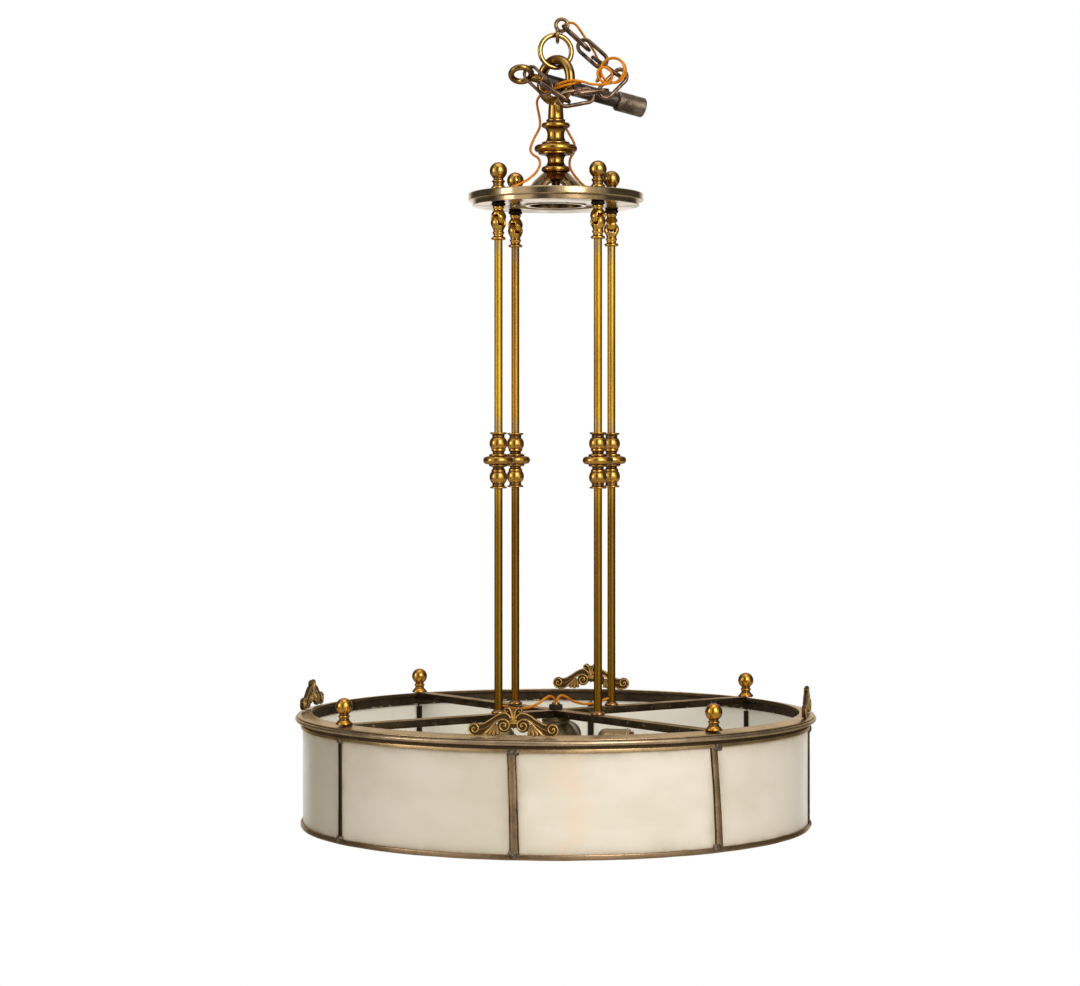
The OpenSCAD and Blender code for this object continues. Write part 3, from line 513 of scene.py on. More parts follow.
def hoop_brass(name, light, dark, shine, seed):
    """Dull brown brass of the drum's frame: light on the ridges, painted shade in the hollows, and pale
    patches of painted sheen.
    """
    f = Finish(name)
    hollow = f.painted("hollow")
    cloud = f.patches(26, 0.3, 0.72, shift=seed)
    fleck = f.patches(240, 0.52, 0.72, shift=seed, detail=5)
    # Painted shade: the marked hollows are darkened, over random clouds and flecks.
    colour = f.mix(light, dark, cloud * 0.4 + hollow * 0.9 + fleck * 0.2)
    # Pale patches of painted sheen, kept out of the painted shade.
    pale = f.patches(55, 0.6, 0.78, shift=seed + 3)
    colour = f.mix(colour, shine, pale * 0.4 * (1 - hollow))
    rough = f.grain(120, shift=seed) * 0.16 + 0.2 + hollow * 0.3
    return f.done(colour, rough, 0.9, bump=f.grain(500, detail=3) * 0.4 + fleck, depth=0.00003,
                  Specular_Tint=tone(214, 198, 172))


ring_base, ring_top = span("bottom_ring", Z)
ring_r = span("bottom_ring", X)[1]
glass_t = 3.0
glass_out = span("glass_panel_1", X)[1]
glass_in = glass_out - glass_t
ring_brass = hoop_brass("bottom_ring_brass", (158, 130, 98), (72, 56, 38), (196, 172, 138), 1.0)
outline = rounded([
    (ring_r - 5.8, ring_base + 0.4), (ring_r - 0.3, ring_base + 0.4, 1.6), (ring_r - 0.3, ring_top, 1.4),
    (glass_out + 0.3, ring_top, 0.4), (glass_out + 0.3, ring_base + 2.8, 0.2),
    (glass_in - 0.3, ring_base + 2.8, 0.2), (glass_in - 0.3, ring_top - 1.6, 0.3),
    (glass_in - 1.7, ring_top - 1.6, 0.3), (glass_in - 1.7, ring_base + 0.4, 0.4)], 0.4)
# Painted shade in the channel that the glass stands in.
hollow = [1 if r < glass_out + 0.5 else 0 for r, z in outline]
mesh = revolve(outline, 288, hand_bent(7, 0.22), hollow=hollow)
belongs(piece("bottom_ring_lumpy", mesh, ring_brass), "frame_brass", "bottom_ring")

# Glass panes
# Eight panes of milky ivory glass, rolled a little uneven and bent round a former. Old grime lies along
# the came at their edges, and the streaks in the glass run from ivory to faint pink and orange.


def milky_glass():
    f = Finish("milky_slag_glass")
    age, warmth, edge = f.painted("age"), f.painted("warmth"), f.painted("grime")
    streak = f.patches(7, 0.38, 0.68, squash=(1, 1, 1.7), detail=4, shift=4)
    blush = f.patches(11, 0.56, 0.76, squash=(1, 1, 1.3), detail=5, shift=9)
    colour = f.mix((244, 232, 212), (232, 219, 196), streak)
    colour = f.mix(colour, (246, 217, 186), blush * warmth)
    # Painted shade: whole panes darker, most on the left, away from the key lamp.
    colour = f.mix(colour, (188, 178, 153), age * (0.75 + 0.25 * f.grain(9, shift=2)))
    smear = f.patches(34, 0.3, 0.75, detail=3)
    colour = f.mix(colour, (150, 126, 82), edge * (0.5 + 0.5 * smear) * 0.6)
    # The inner face is painted an even pale ivory, as painted light coming through the glass.
    inside = f.painted("inside")
    colour = f.mix(colour, (238, 231, 214), inside * 0.9)
    rough = 0.22 + 0.2 * f.grain(30) + edge * 0.3
    return f.done(colour, rough, 0.0, bump=f.grain(14, detail=2) * 0.6 + f.grain(60) * 0.1, depth=0.0012,
                  Coat_Weight=0.25, Coat_Roughness=0.12, Subsurface_Weight=0.15,
                  Subsurface_Radius=(0.008, 0.006, 0.004), Subsurface_Scale=1.0)


glass_finish = milky_glass()
pane_step = math.radians(45)
pane_lo, pane_hi = span("glass_panel_1", Z)
pane_gap = math.asin(1.3 / glass_in)
pane_wave, came_cover, strip_cover, grime_reach = 0.35, 3.5, 3.6, 5.5
# How much painted shade each pane gets; the panes on the left are darkest.
pane_age = [0.18, 0.35, 0.3, 0.5, 0.92, 0.42, 0.0, 0.16]
pane_warmth = [0.3, 0.2, 0.2, 0.1, 0.05, 0.1, 0.75, 0.35]


def crowded(count):
    """Steps from 0 to 1 that lie closer together at both ends."""
    swing = [math.cos(math.pi * k / count) for k in range(count + 1)]
    return [0.5 - 0.5 * math.copysign(abs(c) ** (2 / 3), c) for c in swing]


def pane(number):
    start, end = pane_step * (number - 1) + pane_gap, pane_step * number - pane_gap
    across, up = crowded(56), crowded(26)
    points, grime, inside, faces = [], [], [], []
    for side, radius in enumerate((glass_out, glass_in)):
        for u in across:
            a = start + (end - start) * u
            for v in up:
                z = pane_lo + (pane_hi - pane_lo) * v
                wave = noise.noise(Vector((a * 6, z * 0.016, number * 3.1))) * pane_wave
                reach = radius + wave * (1 if 0.02 < u < 0.98 and 0.06 < v < 0.94 else 0)
                points.append((reach * math.cos(a) * MM, reach * math.sin(a) * MM, z * MM))
                sideways = min(u, 1 - u) * (end - start) * radius
                heights = min(z - ring_top, pane_hi - z - came_cover)
                away = max(min(sideways - strip_cover, heights), 0)
                grime.append(math.exp(-away / grime_reach))
                inside.append(float(side))
    rows, columns = len(up), len(across)
    size = rows * columns
    for i in range(columns - 1):
        for j in range(rows - 1):
            a, b, c, d = i * rows + j, (i + 1) * rows + j, (i + 1) * rows + j + 1, i * rows + j + 1
            faces.append((a, b, c, d))
            faces.append((d + size, c + size, b + size, a + size))
    rim = [i * rows for i in range(columns)] + [(columns - 1) * rows + j for j in range(1, rows)]
    rim += [i * rows + rows - 1 for i in range(columns - 2, -1, -1)] + list(range(rows - 2, 0, -1))
    for a, b in zip(rim, rim[1:] + rim[:1]):
        faces.append((b, a, a + size, b + size))
    count = len(points)
    mesh = mesh_of(points, faces, grime=grime, inside=inside, age=[pane_age[number - 1]] * count,
                   warmth=[pane_warmth[number - 1]] * count)
    mesh.shade_smooth()
    return mesh


for number in range(1, 9):
    made = piece(f"slag_pane_{number}", pane(number), glass_finish)
    belongs(made, "slag_glass", f"glass_panel_{number}")

# Came strips
# Brass came over the joint of each two panes: a strip outside, a web and a narrow strip inside. They were
# set by hand, so each leans its own way.
strip_w, strip_t, strip_back = [9.3, 9.3, 9.3, 9.3, 9.3, 5.4, 9.3, 9.3], 1.5, 1.0
strip_lo, strip_hi = span("mullions", Z)
strip_lean = [0.6, -0.4, 0.5, 0.3, -0.5, 0.4, 3.2, 8.0]
strip_bow = [0.3, 0.2, -0.3, 0.4, 0.2, 0.3, 0.3, 0.8]
strip_splay, strip_bumps = 1.2, 0.12


def came_strip(number):
    """One strip with its web, leaning to one side towards its foot, in place at its joint."""
    face = -glass_t - 0.9
    across = [(-0.5, 0.0), (-0.5, 0.45), (-0.44, 0.8), (-0.25, 1.0), (0.25, 1.0), (0.44, 0.8), (0.5, 0.45),
              (0.5, 0.0), (0.12, 0.0), (0.12, face), (0.4, face), (0.4, face - strip_back),
              (-0.4, face - strip_back), (-0.4, face), (-0.12, face), (-0.12, 0.0)]
    levels, count = 36, len(across)
    points, hollow, faces = [], [], []
    for k in range(levels + 1):
        t = k / levels
        z = strip_lo + (strip_hi - strip_lo) * t
        lean = strip_lean[number] * (0.5 - t) + strip_bow[number] * (math.sin(math.pi * t) - 0.6)
        width = strip_w[number] * (1 + 0.05 * noise.noise(Vector((number * 5.0, 0, z * 0.05))))
        width += strip_splay * (1 - t) ** 3
        for w, h in across:
            thick = h * strip_t if h >= 0 else h
            bumpy = strip_bumps * noise.noise(Vector((w * 3, number * 7.0, z * 0.22))) if h > 0 else 0
            shifted = lean if h >= 0 else 0
            points.append(((glass_out + 0.3 + thick + bumpy) * MM, (w * width + shifted) * MM, z * MM))
            # Painted shade on the strip's rounded edges, its web and its inner strip; only the middle of a
            # wide strip's face is left out.
            hollow.append(0.0 if h > 0.9 and abs(w) < 0.3 and strip_w[number] > 6 else 1.0)
    for k in range(levels):
        for j in range(count):
            m = (j + 1) % count
            faces.append((k * count + j, (k + 1) * count + j, (k + 1) * count + m, k * count + m))
    faces.append(tuple(range(count)))
    faces.append(tuple(levels * count + j for j in range(count - 1, -1, -1)))
    mesh = mesh_of(points, faces, hollow=hollow)
    mesh.transform(Matrix.Rotation(pane_step * number, 4, "Z"))
    return mesh


strip_brass = hoop_brass("came_strip_brass", (200, 166, 122), (48, 38, 28), (220, 200, 168), 5.0)
strips = joined([piece("came_strips_set_by_hand", came_strip(n), strip_brass) for n in range(8)])
strips.data.shade_smooth()
strips.data.set_sharp_from_angle(angle=math.radians(40))
belongs(strips, "frame_brass", "mullions")

# Solder
# A blob of grey solder over each end of every strip, where it meets the bottom ring and the came above.
# Each was run on by hand, so they differ in size and their skin is rippled.
solder_w, solder_h, solder_t, solder_sunk = 12.5, 8.2, 2.4, 0.9


def copies_round(bench, shape, count, turn, radius, height=0.0, scale=(1, 1, 1)):
    """Copies of a shape round the stem, each at its turn and facing outwards."""
    spot = bench.node("ShaderNodeCombineXYZ", {
        "X": turn.cosine() * radius, "Y": turn.sine() * radius, "Z": height})
    return bench.node("GeometryNodeInstanceOnPoints", {
        "Points": bench.node("GeometryNodePoints", {"Count": count, "Position": spot}), "Instance": shape,
        "Scale": scale, "Rotation": bench.node("ShaderNodeCombineXYZ", {"Z": turn})})


blobs, given = tree_of(
    "solder round the joints", ("Blob", "Geometry"), ("Joints", "Int"), ("Radius", "Float"),
    ("Height", "Float"), ("Step", "Float"), ("Seed", "Int"), ("Finish", "Material"))
number = blobs.node("GeometryNodeInputIndex")
size = blobs.node("FunctionNodeRandomValue", {
    0: (0.9, 0.75, 0.75), 1: (1.0, 1.1, 1.15), "ID": number, "Seed": given["Seed"]}, data_type="FLOAT_VECTOR")
drops = copies_round(blobs, given["Blob"], given["Joints"], number * given["Step"], given["Radius"],
                     given["Height"], size)
drops = blobs.node("GeometryNodeRealizeInstances", {"Geometry": drops})
ripple = blobs.node("ShaderNodeTexNoise", {
    "Vector": blobs.node("GeometryNodeInputPosition"), "Scale": 420.0, "Detail": 2.0}, "Color")
ripple = blobs.node("ShaderNodeVectorMath", {0: ripple, 1: (0.5, 0.5, 0.5)}, operation="SUBTRACT")
ripple = blobs.node("ShaderNodeVectorMath", {0: ripple, "Scale": 0.0016}, operation="SCALE")
drops = blobs.node("GeometryNodeSetPosition", {"Geometry": drops, "Offset": ripple})
blobs.ends(drops, given["Finish"])


def old_solder():
    f = Finish("grey_solder")
    dark = f.patches(500, 0.45, 0.65, detail=4)
    colour = f.mix((118, 104, 88), (52, 44, 36), dark)
    colour = f.mix(colour, (150, 122, 92), f.patches(180, 0.55, 0.7, shift=3) * 0.7)
    return f.done(colour, 0.42 + 0.2 * f.grain(300), 0.8, bump=f.grain(900, detail=3), depth=0.0002,
                  Specular_Tint=tone(180, 160, 136))


def solder_blob():
    """A flat dome of solder, across the joint and a little higher in the middle."""
    rows, columns = 14, 18
    points, faces = [], []
    for i in range(rows + 1):
        for j in range(columns + 1):
            u, v = j / columns * 2 - 1, i / rows * 2 - 1
            fall = max(1 - abs(u) ** 3 - abs(v) ** 3, 0) ** 0.5
            points.append(((fall * solder_t - 0.5) * MM, u * solder_w / 2 * MM, v * solder_h / 2 * MM))
    for i in range(rows):
        for j in range(columns):
            a = i * (columns + 1) + j
            faces.append((a, a + 1, a + columns + 2, a + columns + 1))
    return mesh_of(points, faces)


came_lo, came_top = span("glass_came", Z)
skin_r = span("glass_came", X)[1]
solder_finish = old_solder()
for name, z, seed in (("solder_at_foot", ring_base + solder_h * 0.72, 3),
                      ("solder_at_top", came_lo + 0.6, 8)):
    made = made_by(blobs, solder_blob(), name, Joints=8, Radius=(skin_r - solder_sunk) * MM, Height=z * MM,
                   Step=pane_step, Seed=seed, Finish=solder_finish)
    belongs(made, "frame_brass")

# Glass came
# The came over the top edges of the panes, golden brown with pale patches of painted sheen, with a
# thin shadow gap between it and the moulding above.
top_brass = hoop_brass("top_came_brass", (196, 164, 118), (104, 78, 46), (220, 194, 150), 9.0)
outline = rounded([
    (skin_r - 0.25, came_lo, 0.8), (skin_r - 0.25, came_top, 0.9), (glass_in - 3, came_top, 0.3),
    (glass_in - 3, came_top - 1.4, 0.3), (glass_out + 0.3, came_top - 1.4, 0.1),
    (glass_out + 0.3, came_lo, 0.2)], 0.3)
mesh = revolve(outline, 288, hand_bent(11, 0.12), hollow=[0] * len(outline))
belongs(piece("came_over_glass", mesh, top_brass), "frame_brass", "glass_came")

# Gallery ring
# The rolled moulding round the top: a flat flange, a fine groove, an ovolo, a second groove and a
# fillet over the shadow gap. The groove under the flange's edge, the gap and the flange's inner wall get
# painted shade.
drum_r, flange_top = span("gallery_ring", X)[1], span("gallery_ring", Z)[1]
edge_r, flange_w, flange_rise, flange_t = drum_r - 2, 18.0, 3.0, 4.6
mould_lo, mould_top = came_top + 2, flange_top - flange_rise
flange_r, flange_under = edge_r - flange_w, flange_top - flange_t


def arc(centre, r0, a0, r1, a1, steps):
    """Points of a flat arc or spiral, its angles in degrees."""
    line = []
    for k in range(steps + 1):
        r, a = r0 + (r1 - r0) * k / steps, math.radians(a0 + (a1 - a0) * k / steps)
        line.append((centre[0] + r * math.cos(a), centre[1] + r * math.sin(a)))
    return line


def in_groove(r, z):
    """The groove under the flange's edge, the gap at the foot and the flange's inner wall, which get painted
    shade.
    """
    low = z < mould_lo + 1.8 or r < flange_r + 0.1 or r < edge_r - 0.9 and abs(z - mould_top + 1.3) < 0.5
    return low and not (z > mould_top and r > flange_r + 0.3)


outer = [
    (skin_r - 0.6, mould_lo), (skin_r + 0.7, mould_lo + 0.1), (skin_r + 1.3, mould_lo + 0.5),
    (skin_r + 1.5, mould_lo + 1.2), (skin_r + 2.2, mould_lo + 1.7), (skin_r + 3.4, mould_lo + 2.0),
    *arc((drum_r - 2.7, mould_lo + 4.5), 2.6, -75, 2.6, 62, 10),
    (edge_r - 1.3, mould_top - 1.5), (edge_r - 1.2, mould_top - 1.2),
    *arc((edge_r - 1.0, mould_top - 0.6), 0.75, -60, 0.75, 80, 8),
    (edge_r - 5, mould_top + 0.75), (flange_r + 1.2, flange_top - 0.05), (flange_r + 0.3, flange_top - 0.3),
    (flange_r, flange_top - 1.2), (flange_r, flange_top - 3.2), (flange_r + 1.6, flange_under),
    (edge_r - 4, flange_under), (skin_r - 2.4, mould_lo + 2), (skin_r - 2.4, came_top + 0.05),
    (skin_r - 0.6, came_top + 0.05)]
groove_shade = [float(in_groove(r, z)) for r, z in outer]
gallery_brass = hoop_brass("gallery_brass", (192, 165, 131), (76, 61, 43), (226, 206, 178), 13.0)
made = piece("gallery_moulding", revolve(outer, 360, hand_bent(3, 0.06), hollow=groove_shade), gallery_brass)
made.data.set_sharp_from_angle(angle=math.radians(38))
belongs(made, "frame_brass", "gallery_ring")

# Inner band
# A blackened iron strip inside the glass, which closes the drum above the panes.


def blackened(name, light, dark, seed=0.0, metal=0.6):
    f = Finish(name)
    cloud = f.patches(40, 0.35, 0.7, shift=seed, detail=5)
    # Lighter on the faces that look up.
    facing_up = f.step(f.upward(), 0.5, 0.95)
    colour = f.mix(dark, light, cloud * 0.5 + facing_up * 0.5)
    rust = f.patches(150, 0.62, 0.74, shift=seed + 2, detail=4)
    colour = f.mix(colour, (104, 84, 56), rust * 0.5)
    rough = 0.42 + 0.22 * f.grain(110, shift=seed)
    return f.done(colour, rough, metal, bump=f.grain(420, detail=4), depth=0.0001,
                  Specular_Tint=tone(190, 158, 118))


def dress(name, material):
    """Gives a CAD node its finish."""
    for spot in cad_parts[name].material_slots:
        spot.material = material


dress("inner_band", blackened("blackened_band", (82, 70, 52), (42, 35, 25)))

# Crests
# Four bronze castings that stand on the flange: a long scroll each side, its channel between two gilt
# rims, curled into an outer and an inner volute, with a fan of leaf ribs below and a palmette on top.
crest_left, crest_right = span("crest_1", Y)
crest_back, crest_foot, crest_t = span("crest_1", X)[0], span("crest_1", Z)[0], 3.0
crest_drawn_w = 100.0
outer_eye, inner_eye = (42.2, 8.3), (10.3, 12.0)


def bowed(p, q, r, s, n):
    """Points of a cubic curve."""
    p, q, r, s = map(Vector, (p, q, r, s))
    return [(1 - t) ** 3 * p + 3 * (1 - t) ** 2 * t * q + 3 * (1 - t) * t * t * r + t ** 3 * s
            for t in (k / n for k in range(n + 1))]


class Casting:
    """Rods and slabs that are fused into one casting."""

    def __init__(self):
        self.points, self.faces = [], []

    def rod(self, route, width, depth, high, taper=1.0, sides=10):
        """A rib of oval section along a flat route, its middle line `high` over the plate's middle."""
        route = [Vector(p) for p in route]
        count, base = len(route), len(self.points)
        for i, at in enumerate(route):
            along = route[min(i + 1, count - 1)] - route[max(i - 1, 0)]
            side = Vector((-along.y, along.x)).normalized()
            share = (1 + (taper - 1) * i / (count - 1)) * (0.35 if i in (0, count - 1) else 1)
            for k in range(sides):
                a = math.tau * k / sides
                flat = at + side * math.cos(a) * width / 2 * share
                self.points.append((flat.x, flat.y, high + math.sin(a) * depth / 2 * share))
        for i in range(count - 1):
            for k in range(sides):
                m = (k + 1) % sides
                self.faces.append((base + i * sides + k, base + i * sides + m,
                                   base + (i + 1) * sides + m, base + (i + 1) * sides + k))
        self.faces.append(tuple(base + k for k in range(sides - 1, -1, -1)))
        self.faces.append(tuple(base + (count - 1) * sides + k for k in range(sides)))

    def both_sides(self, route, width, depth, high, taper=1.0):
        """A rod on both faces of the plate, and its mirror image."""
        for mirror in (1, -1):
            for face in (1, -1):
                self.rod([(p[0] * mirror, p[1]) for p in route], width, depth, high * face, taper)

    def slab(self, outline, half_thick, mirror=True):
        """A flat plate of the outline, and its mirror image."""
        for side in (1, -1) if mirror else (1,):
            flat = [(p[0] * side, p[1]) for p in outline]
            area = sum(a[0] * b[1] - b[0] * a[1] for a, b in zip(flat, flat[1:] + flat[:1]))
            flat = flat if area > 0 else flat[::-1]
            base, count = len(self.points), len(flat)
            self.points += [(x, y, z) for z in (-half_thick, half_thick) for x, y in flat]
            self.faces.append(tuple(base + k for k in range(count - 1, -1, -1)))
            self.faces.append(tuple(base + count + k for k in range(count)))
            for k in range(count):
                m = (k + 1) % count
                self.faces.append((base + k, base + m, base + count + m, base + count + k))


def melted(points, faces, voxel, rounds):
    """One skin round closed solids that run into each other, with softened joints."""
    rough = piece("rough_casting", mesh_of(points, faces))
    melt = rough.modifiers.new("fused", "REMESH")
    melt.mode, melt.voxel_size, melt.adaptivity = "VOXEL", voxel, 0.0
    soft = rough.modifiers.new("cast_softness", "SMOOTH")
    soft.factor, soft.iterations = 0.5, rounds
    return settled(rough)


def crest_casting():
    """One crest, drawn flat in millimetres at its drawn width."""
    cast = Casting()
    high = crest_t / 2
    # The two edges of the scroll: the upper one runs over the crown, the lower one into both volutes.
    upper = eased([(37, 13.2), (32.3, 14), (25.3, 18), (17, 23.4), (9.8, 25.6), (5, 23.4), (2.6, 19.4)], 5)
    lower = eased([(42.2, 1.2), (38, 1.1), (33.4, 2), (28.4, 5.6), (23.6, 11), (18.6, 15.8), (14.6, 18)], 5)
    cast.slab(upper + lower[::-1], high)
    for (x, y), r, first in ((outer_eye, 7.0, -92), (inner_eye, 7.2, 54)):
        cast.slab(arc((x, y), r, 0, r, 348, 29), high * 0.85)
        cast.both_sides([(x - 0.8, y), (x, y), (x + 0.8, y)], 3.4, 3.8, high)
        cast.both_sides(arc((x, y), r, first, 1.7, first + 540, 46), 1.8, 2.8, high)
    for edge in (upper, lower):
        cast.both_sides(edge, 1.7, 2.6, high)
    # The ridge along the channel, and the fan of leaves that hangs from the scroll.
    ridge = [(a + b) / 2 for a, b in zip(upper[3:], lower[3:])]
    cast.both_sides(ridge, 1.5, 1.4, high * 0.95, 0.8)
    for x, y in ((30.6, 2.9), (26.4, 1.5), (21.8, 1.0), (17.2, 2.0)):
        root_x = 19.4 + (x - 22) * 0.25
        leaf = bowed((root_x, 13.4), (root_x + 0.2, 10.4), (x - 0.9, y + 3), (x, y), 10)
        left, right = Vector((-1.6, 0)), Vector((2.0, 0))
        cast.slab([*(p + left for p in leaf), *(p + right for p in leaf[::-1])], high * 0.8)
        cast.both_sides(leaf, 2.6, 1.9, high * 0.8, 1.5)
        cast.both_sides(leaf[-3:], 3.9, 3.2, high * 0.75)
    # The palmette on top: a bud between two leaves that curl out, on a clasp of three bands.
    cast.both_sides(bowed((1.2, 18), (1.6, 26), (2.6, 32.6), (7, 31.6), 14), 3.6, 3.2, high * 0.5, 0.8)
    cast.both_sides(bowed((1.2, 19), (1.8, 26), (3.0, 31.4), (7, 30.9), 12), 1.1, 1.6, high + 0.8)
    cast.both_sides(arc((7.0, 28.4), 2.9, 90, 0.9, -190, 16), 1.7, 2.8, high * 0.8)
    cast.both_sides(bowed((0.3, 18), (1.0, 23), (1.0, 26), (0.3, 30.0), 10), 2.6, 3.6, high * 0.5, 0.6)
    cast.slab(((-5, 9.6), (5, 9.6), (6.4, 22), (-6.4, 22)), high * 0.7, mirror=False)
    cast.slab(((0, 20), (5.6, 22), (9, 26.4), (9.4, 29.4), (7, 31.2), (2.4, 31), (0, 29.6)), high * 0.4)
    for y in (18.2, 16.4, 14.6):
        for face in (1, -1):
            cast.rod([(x, y) for x in (-4.6, -1.5, 1.5, 4.6)], 1.3, 3.0, face * (high + 0.7))
    cast.both_sides([(-0.5, 9.4), (0, 9.4), (0.5, 9.4)], 2.6, 3.4, high * 0.6)
    mesh = melted(cast.points, cast.faces, voxel=0.34, rounds=2)
    paint(mesh, "relief", [min(max((abs(v.co.z) - high) / 1.3, 0), 1) for v in mesh.vertices])
    mesh.shade_smooth()
    return mesh


def gilt_bronze():
    f = Finish("gilt_crest_bronze")
    relief = f.painted("relief")
    rubbed = f.step(relief + f.grain(160, detail=4) * 0.6, 0.75, 1.3)
    colour = f.mix((78, 58, 34), (138, 106, 60), f.step(relief, 0.0, 0.6))
    colour = f.mix(colour, (208, 164, 84), rubbed)
    colour = f.mix(colour, (84, 72, 44), f.patches(90, 0.6, 0.75, shift=6) * 0.5)
    rough = 0.42 - rubbed * 0.16 + 0.12 * f.grain(200)
    return f.done(colour, rough, 0.9, bump=f.grain(420, detail=3), depth=0.0001)


def spin(degrees, axis="Z"):
    return Matrix.Rotation(math.radians(degrees), 4, axis)


def copy_at(mesh, place):
    mesh = mesh.copy()
    mesh.transform(place)
    return mesh


crest_finish, crest_mesh = gilt_bronze(), crest_casting()
drawn = (crest_right - crest_left) / crest_drawn_w * MM
stand = Matrix.Translation(((crest_back + crest_t / 2) * MM, 0, crest_foot * MM)) @ Matrix((
    (0, 0, MM, 0), (drawn, 0, 0, 0), (0, drawn, 0, 0), (0, 0, 0, 1)))
for n in range(4):
    mesh = copy_at(crest_mesh, spin(90 * n) @ stand)
    belongs(piece(f"cast_crest_{n + 1}", mesh, crest_finish), "crest_bronze", f"crest_{n + 1}")
bpy.data.meshes.remove(crest_mesh)

# Rim finials
# Turned brass balls on necked feet, screwed down through the flange at the ends of the crossbars.


def disc(z, r, h, rho):
    """Radius at each height of a turned disc h high with an edge rounded by rho."""
    return lambda y: np.where(
        abs(y - z) <= h / 2, r - rho + np.sqrt(np.clip(rho ** 2 - (y - z) ** 2, 0, None)), 0)


def taper(z0, r0, z1, r1):
    return lambda y: np.where((y >= z0) & (y <= z1), r0 + (r1 - r0) * (y - z0) / (z1 - z0), 0)


def cove(z0, z1, r, d):
    h = z1 - z0
    big = (h * h / 4 + d * d) / (2 * d)
    return lambda y: np.where((y >= z0) & (y <= z1),
                              r + big - d - np.sqrt(np.clip(big ** 2 - (y - (z0 + z1) / 2) ** 2, 0, None)), 0)


def ball(z, r):
    return lambda y: np.sqrt(np.clip(r * r - (y - z) ** 2, 0, None))


def softened(values, width):
    """A running mean, bell shaped, over about the given number of samples."""
    reach = max(int(width * 2), 1)
    bell = np.exp(-0.5 * (np.arange(-reach, reach + 1) / max(width, 0.3)) ** 2)
    padded = np.concatenate([np.full(reach, values[0]), values, np.full(reach, values[-1])])
    return np.convolve(padded, bell / bell.sum(), mode="valid")


def turned(parts, low, high, sides=56, step=0.3, soften=0.3, origin=0.0):
    """A turned piece from the parts of its outline, with the depth of each cove kept as painted shade for its
    finish.
    """
    y = np.linspace(low, high, int((high - low) / step) + 1)
    fine = np.max([part(y) for part in parts], axis=0)
    fine = np.maximum(fine, 0.05)
    radius = softened(fine, soften / step)
    wide = softened(fine, 2.2 / step)
    # Painted shade: how far the outline lies below a smoother copy of itself, deepest in the coves.
    hollow = np.clip((wide - radius) / 1.1, 0, 1)
    return revolve(list(zip(radius, y + origin)), sides, closed=False, hollow=hollow)


diagonal = math.radians(45)
four_round, given = tree_of(
    "four copies round the stem", ("Piece", "Geometry"), ("Radius", "Float"), ("First turn", "Float"),
    ("Finish", "Material"))
quarter = four_round.node("GeometryNodeInputIndex") * (math.tau / 4) + given["First turn"]
four_round.ends(copies_round(four_round, given["Piece"], 4, quarter, given["Radius"]), given["Finish"])


def four_of(mesh, name, finish, slot, *stands_for, radius=rod_ring_r, first=diagonal):
    """Four copies of a piece round the stem, at the rods unless `radius` and `first` say otherwise."""
    made = made_by(four_round, mesh, name, Radius=radius * MM, First_turn=first, Finish=finish)
    return belongs(made, slot, *stands_for)


def lacquered_brass(name, light, dark, seed, smoky=0.5):
    """Satin brass under old lacquer: golden on the rounds, olive brown as painted shade in the hollows, and
    darker in clouds where it wore.
    """
    f = Finish(name)
    hollow = f.painted("hollow")
    cloud = f.patches(38, 0.3, 0.72, shift=seed, detail=3)
    fine = f.grain(240, shift=seed, detail=3)
    # Painted shade in the marked hollows, over clouds of wear and fine grain.
    shade = cloud * smoky * 0.8 + f.step(hollow, 0.04, 0.6) * 0.75 + f.step(fine, 0.55, 0.75) * 0.12
    colour = f.mix(light, dark, shade)
    spots = f.patches(210, 0.7, 0.78, shift=seed + 5, detail=2)
    colour = f.mix(colour, (58, 42, 20), spots * 0.5)
    rough = 0.16 + 0.07 * fine + 0.22 * f.step(hollow, 0.1, 0.7)
    return f.done(colour, rough, 1.0, bump=fine + spots * -0.8, depth=0.000012,
                  Specular_Tint=tone(92, 66, 28), Coat_Weight=0.4, Coat_Roughness=0.16)


finial_foot, finial_top = span("rim_finials", Z)
finial_left, finial_right = span("rim_finials", X)
finial_h, rim_ball_r = finial_top - finial_foot, 9.5
finial_r = ((finial_right - finial_left) / 2 - rim_ball_r) / math.cos(diagonal)
rim_brass = lacquered_brass("rim_finial_brass", (214, 154, 50), (96, 64, 20), 2.0)
mesh = turned([
    disc(1.5, 9.4, 3, 1.5), taper(2.8, 8.4, 5.2, 6.4), cove(5, 9, 6.4, 1), disc(9.6, 6.6, 2.4, 1.2),
    taper(10, 5.2, 14, 5.2), ball(finial_h - rim_ball_r, rim_ball_r)], 0, finial_h, origin=finial_foot)
four_of(mesh, "turned_rim_finials", rim_brass, "turned_brass", "rim_finials", radius=finial_r)

# Crossbars
# Two flat brass bars, half-lapped where they cross under the nut. Their ends are stepped to lie under the
# flange. Their tops are light tan as painted light, and their sides nearly black as painted shade.
bar_w, bar_easing = 16.0, 0.7
bar_reach = span("cross_bar_1", X)[1] / math.cos(diagonal) - bar_w / 2
bar_mid = (bar_lo + bar_top) / 2


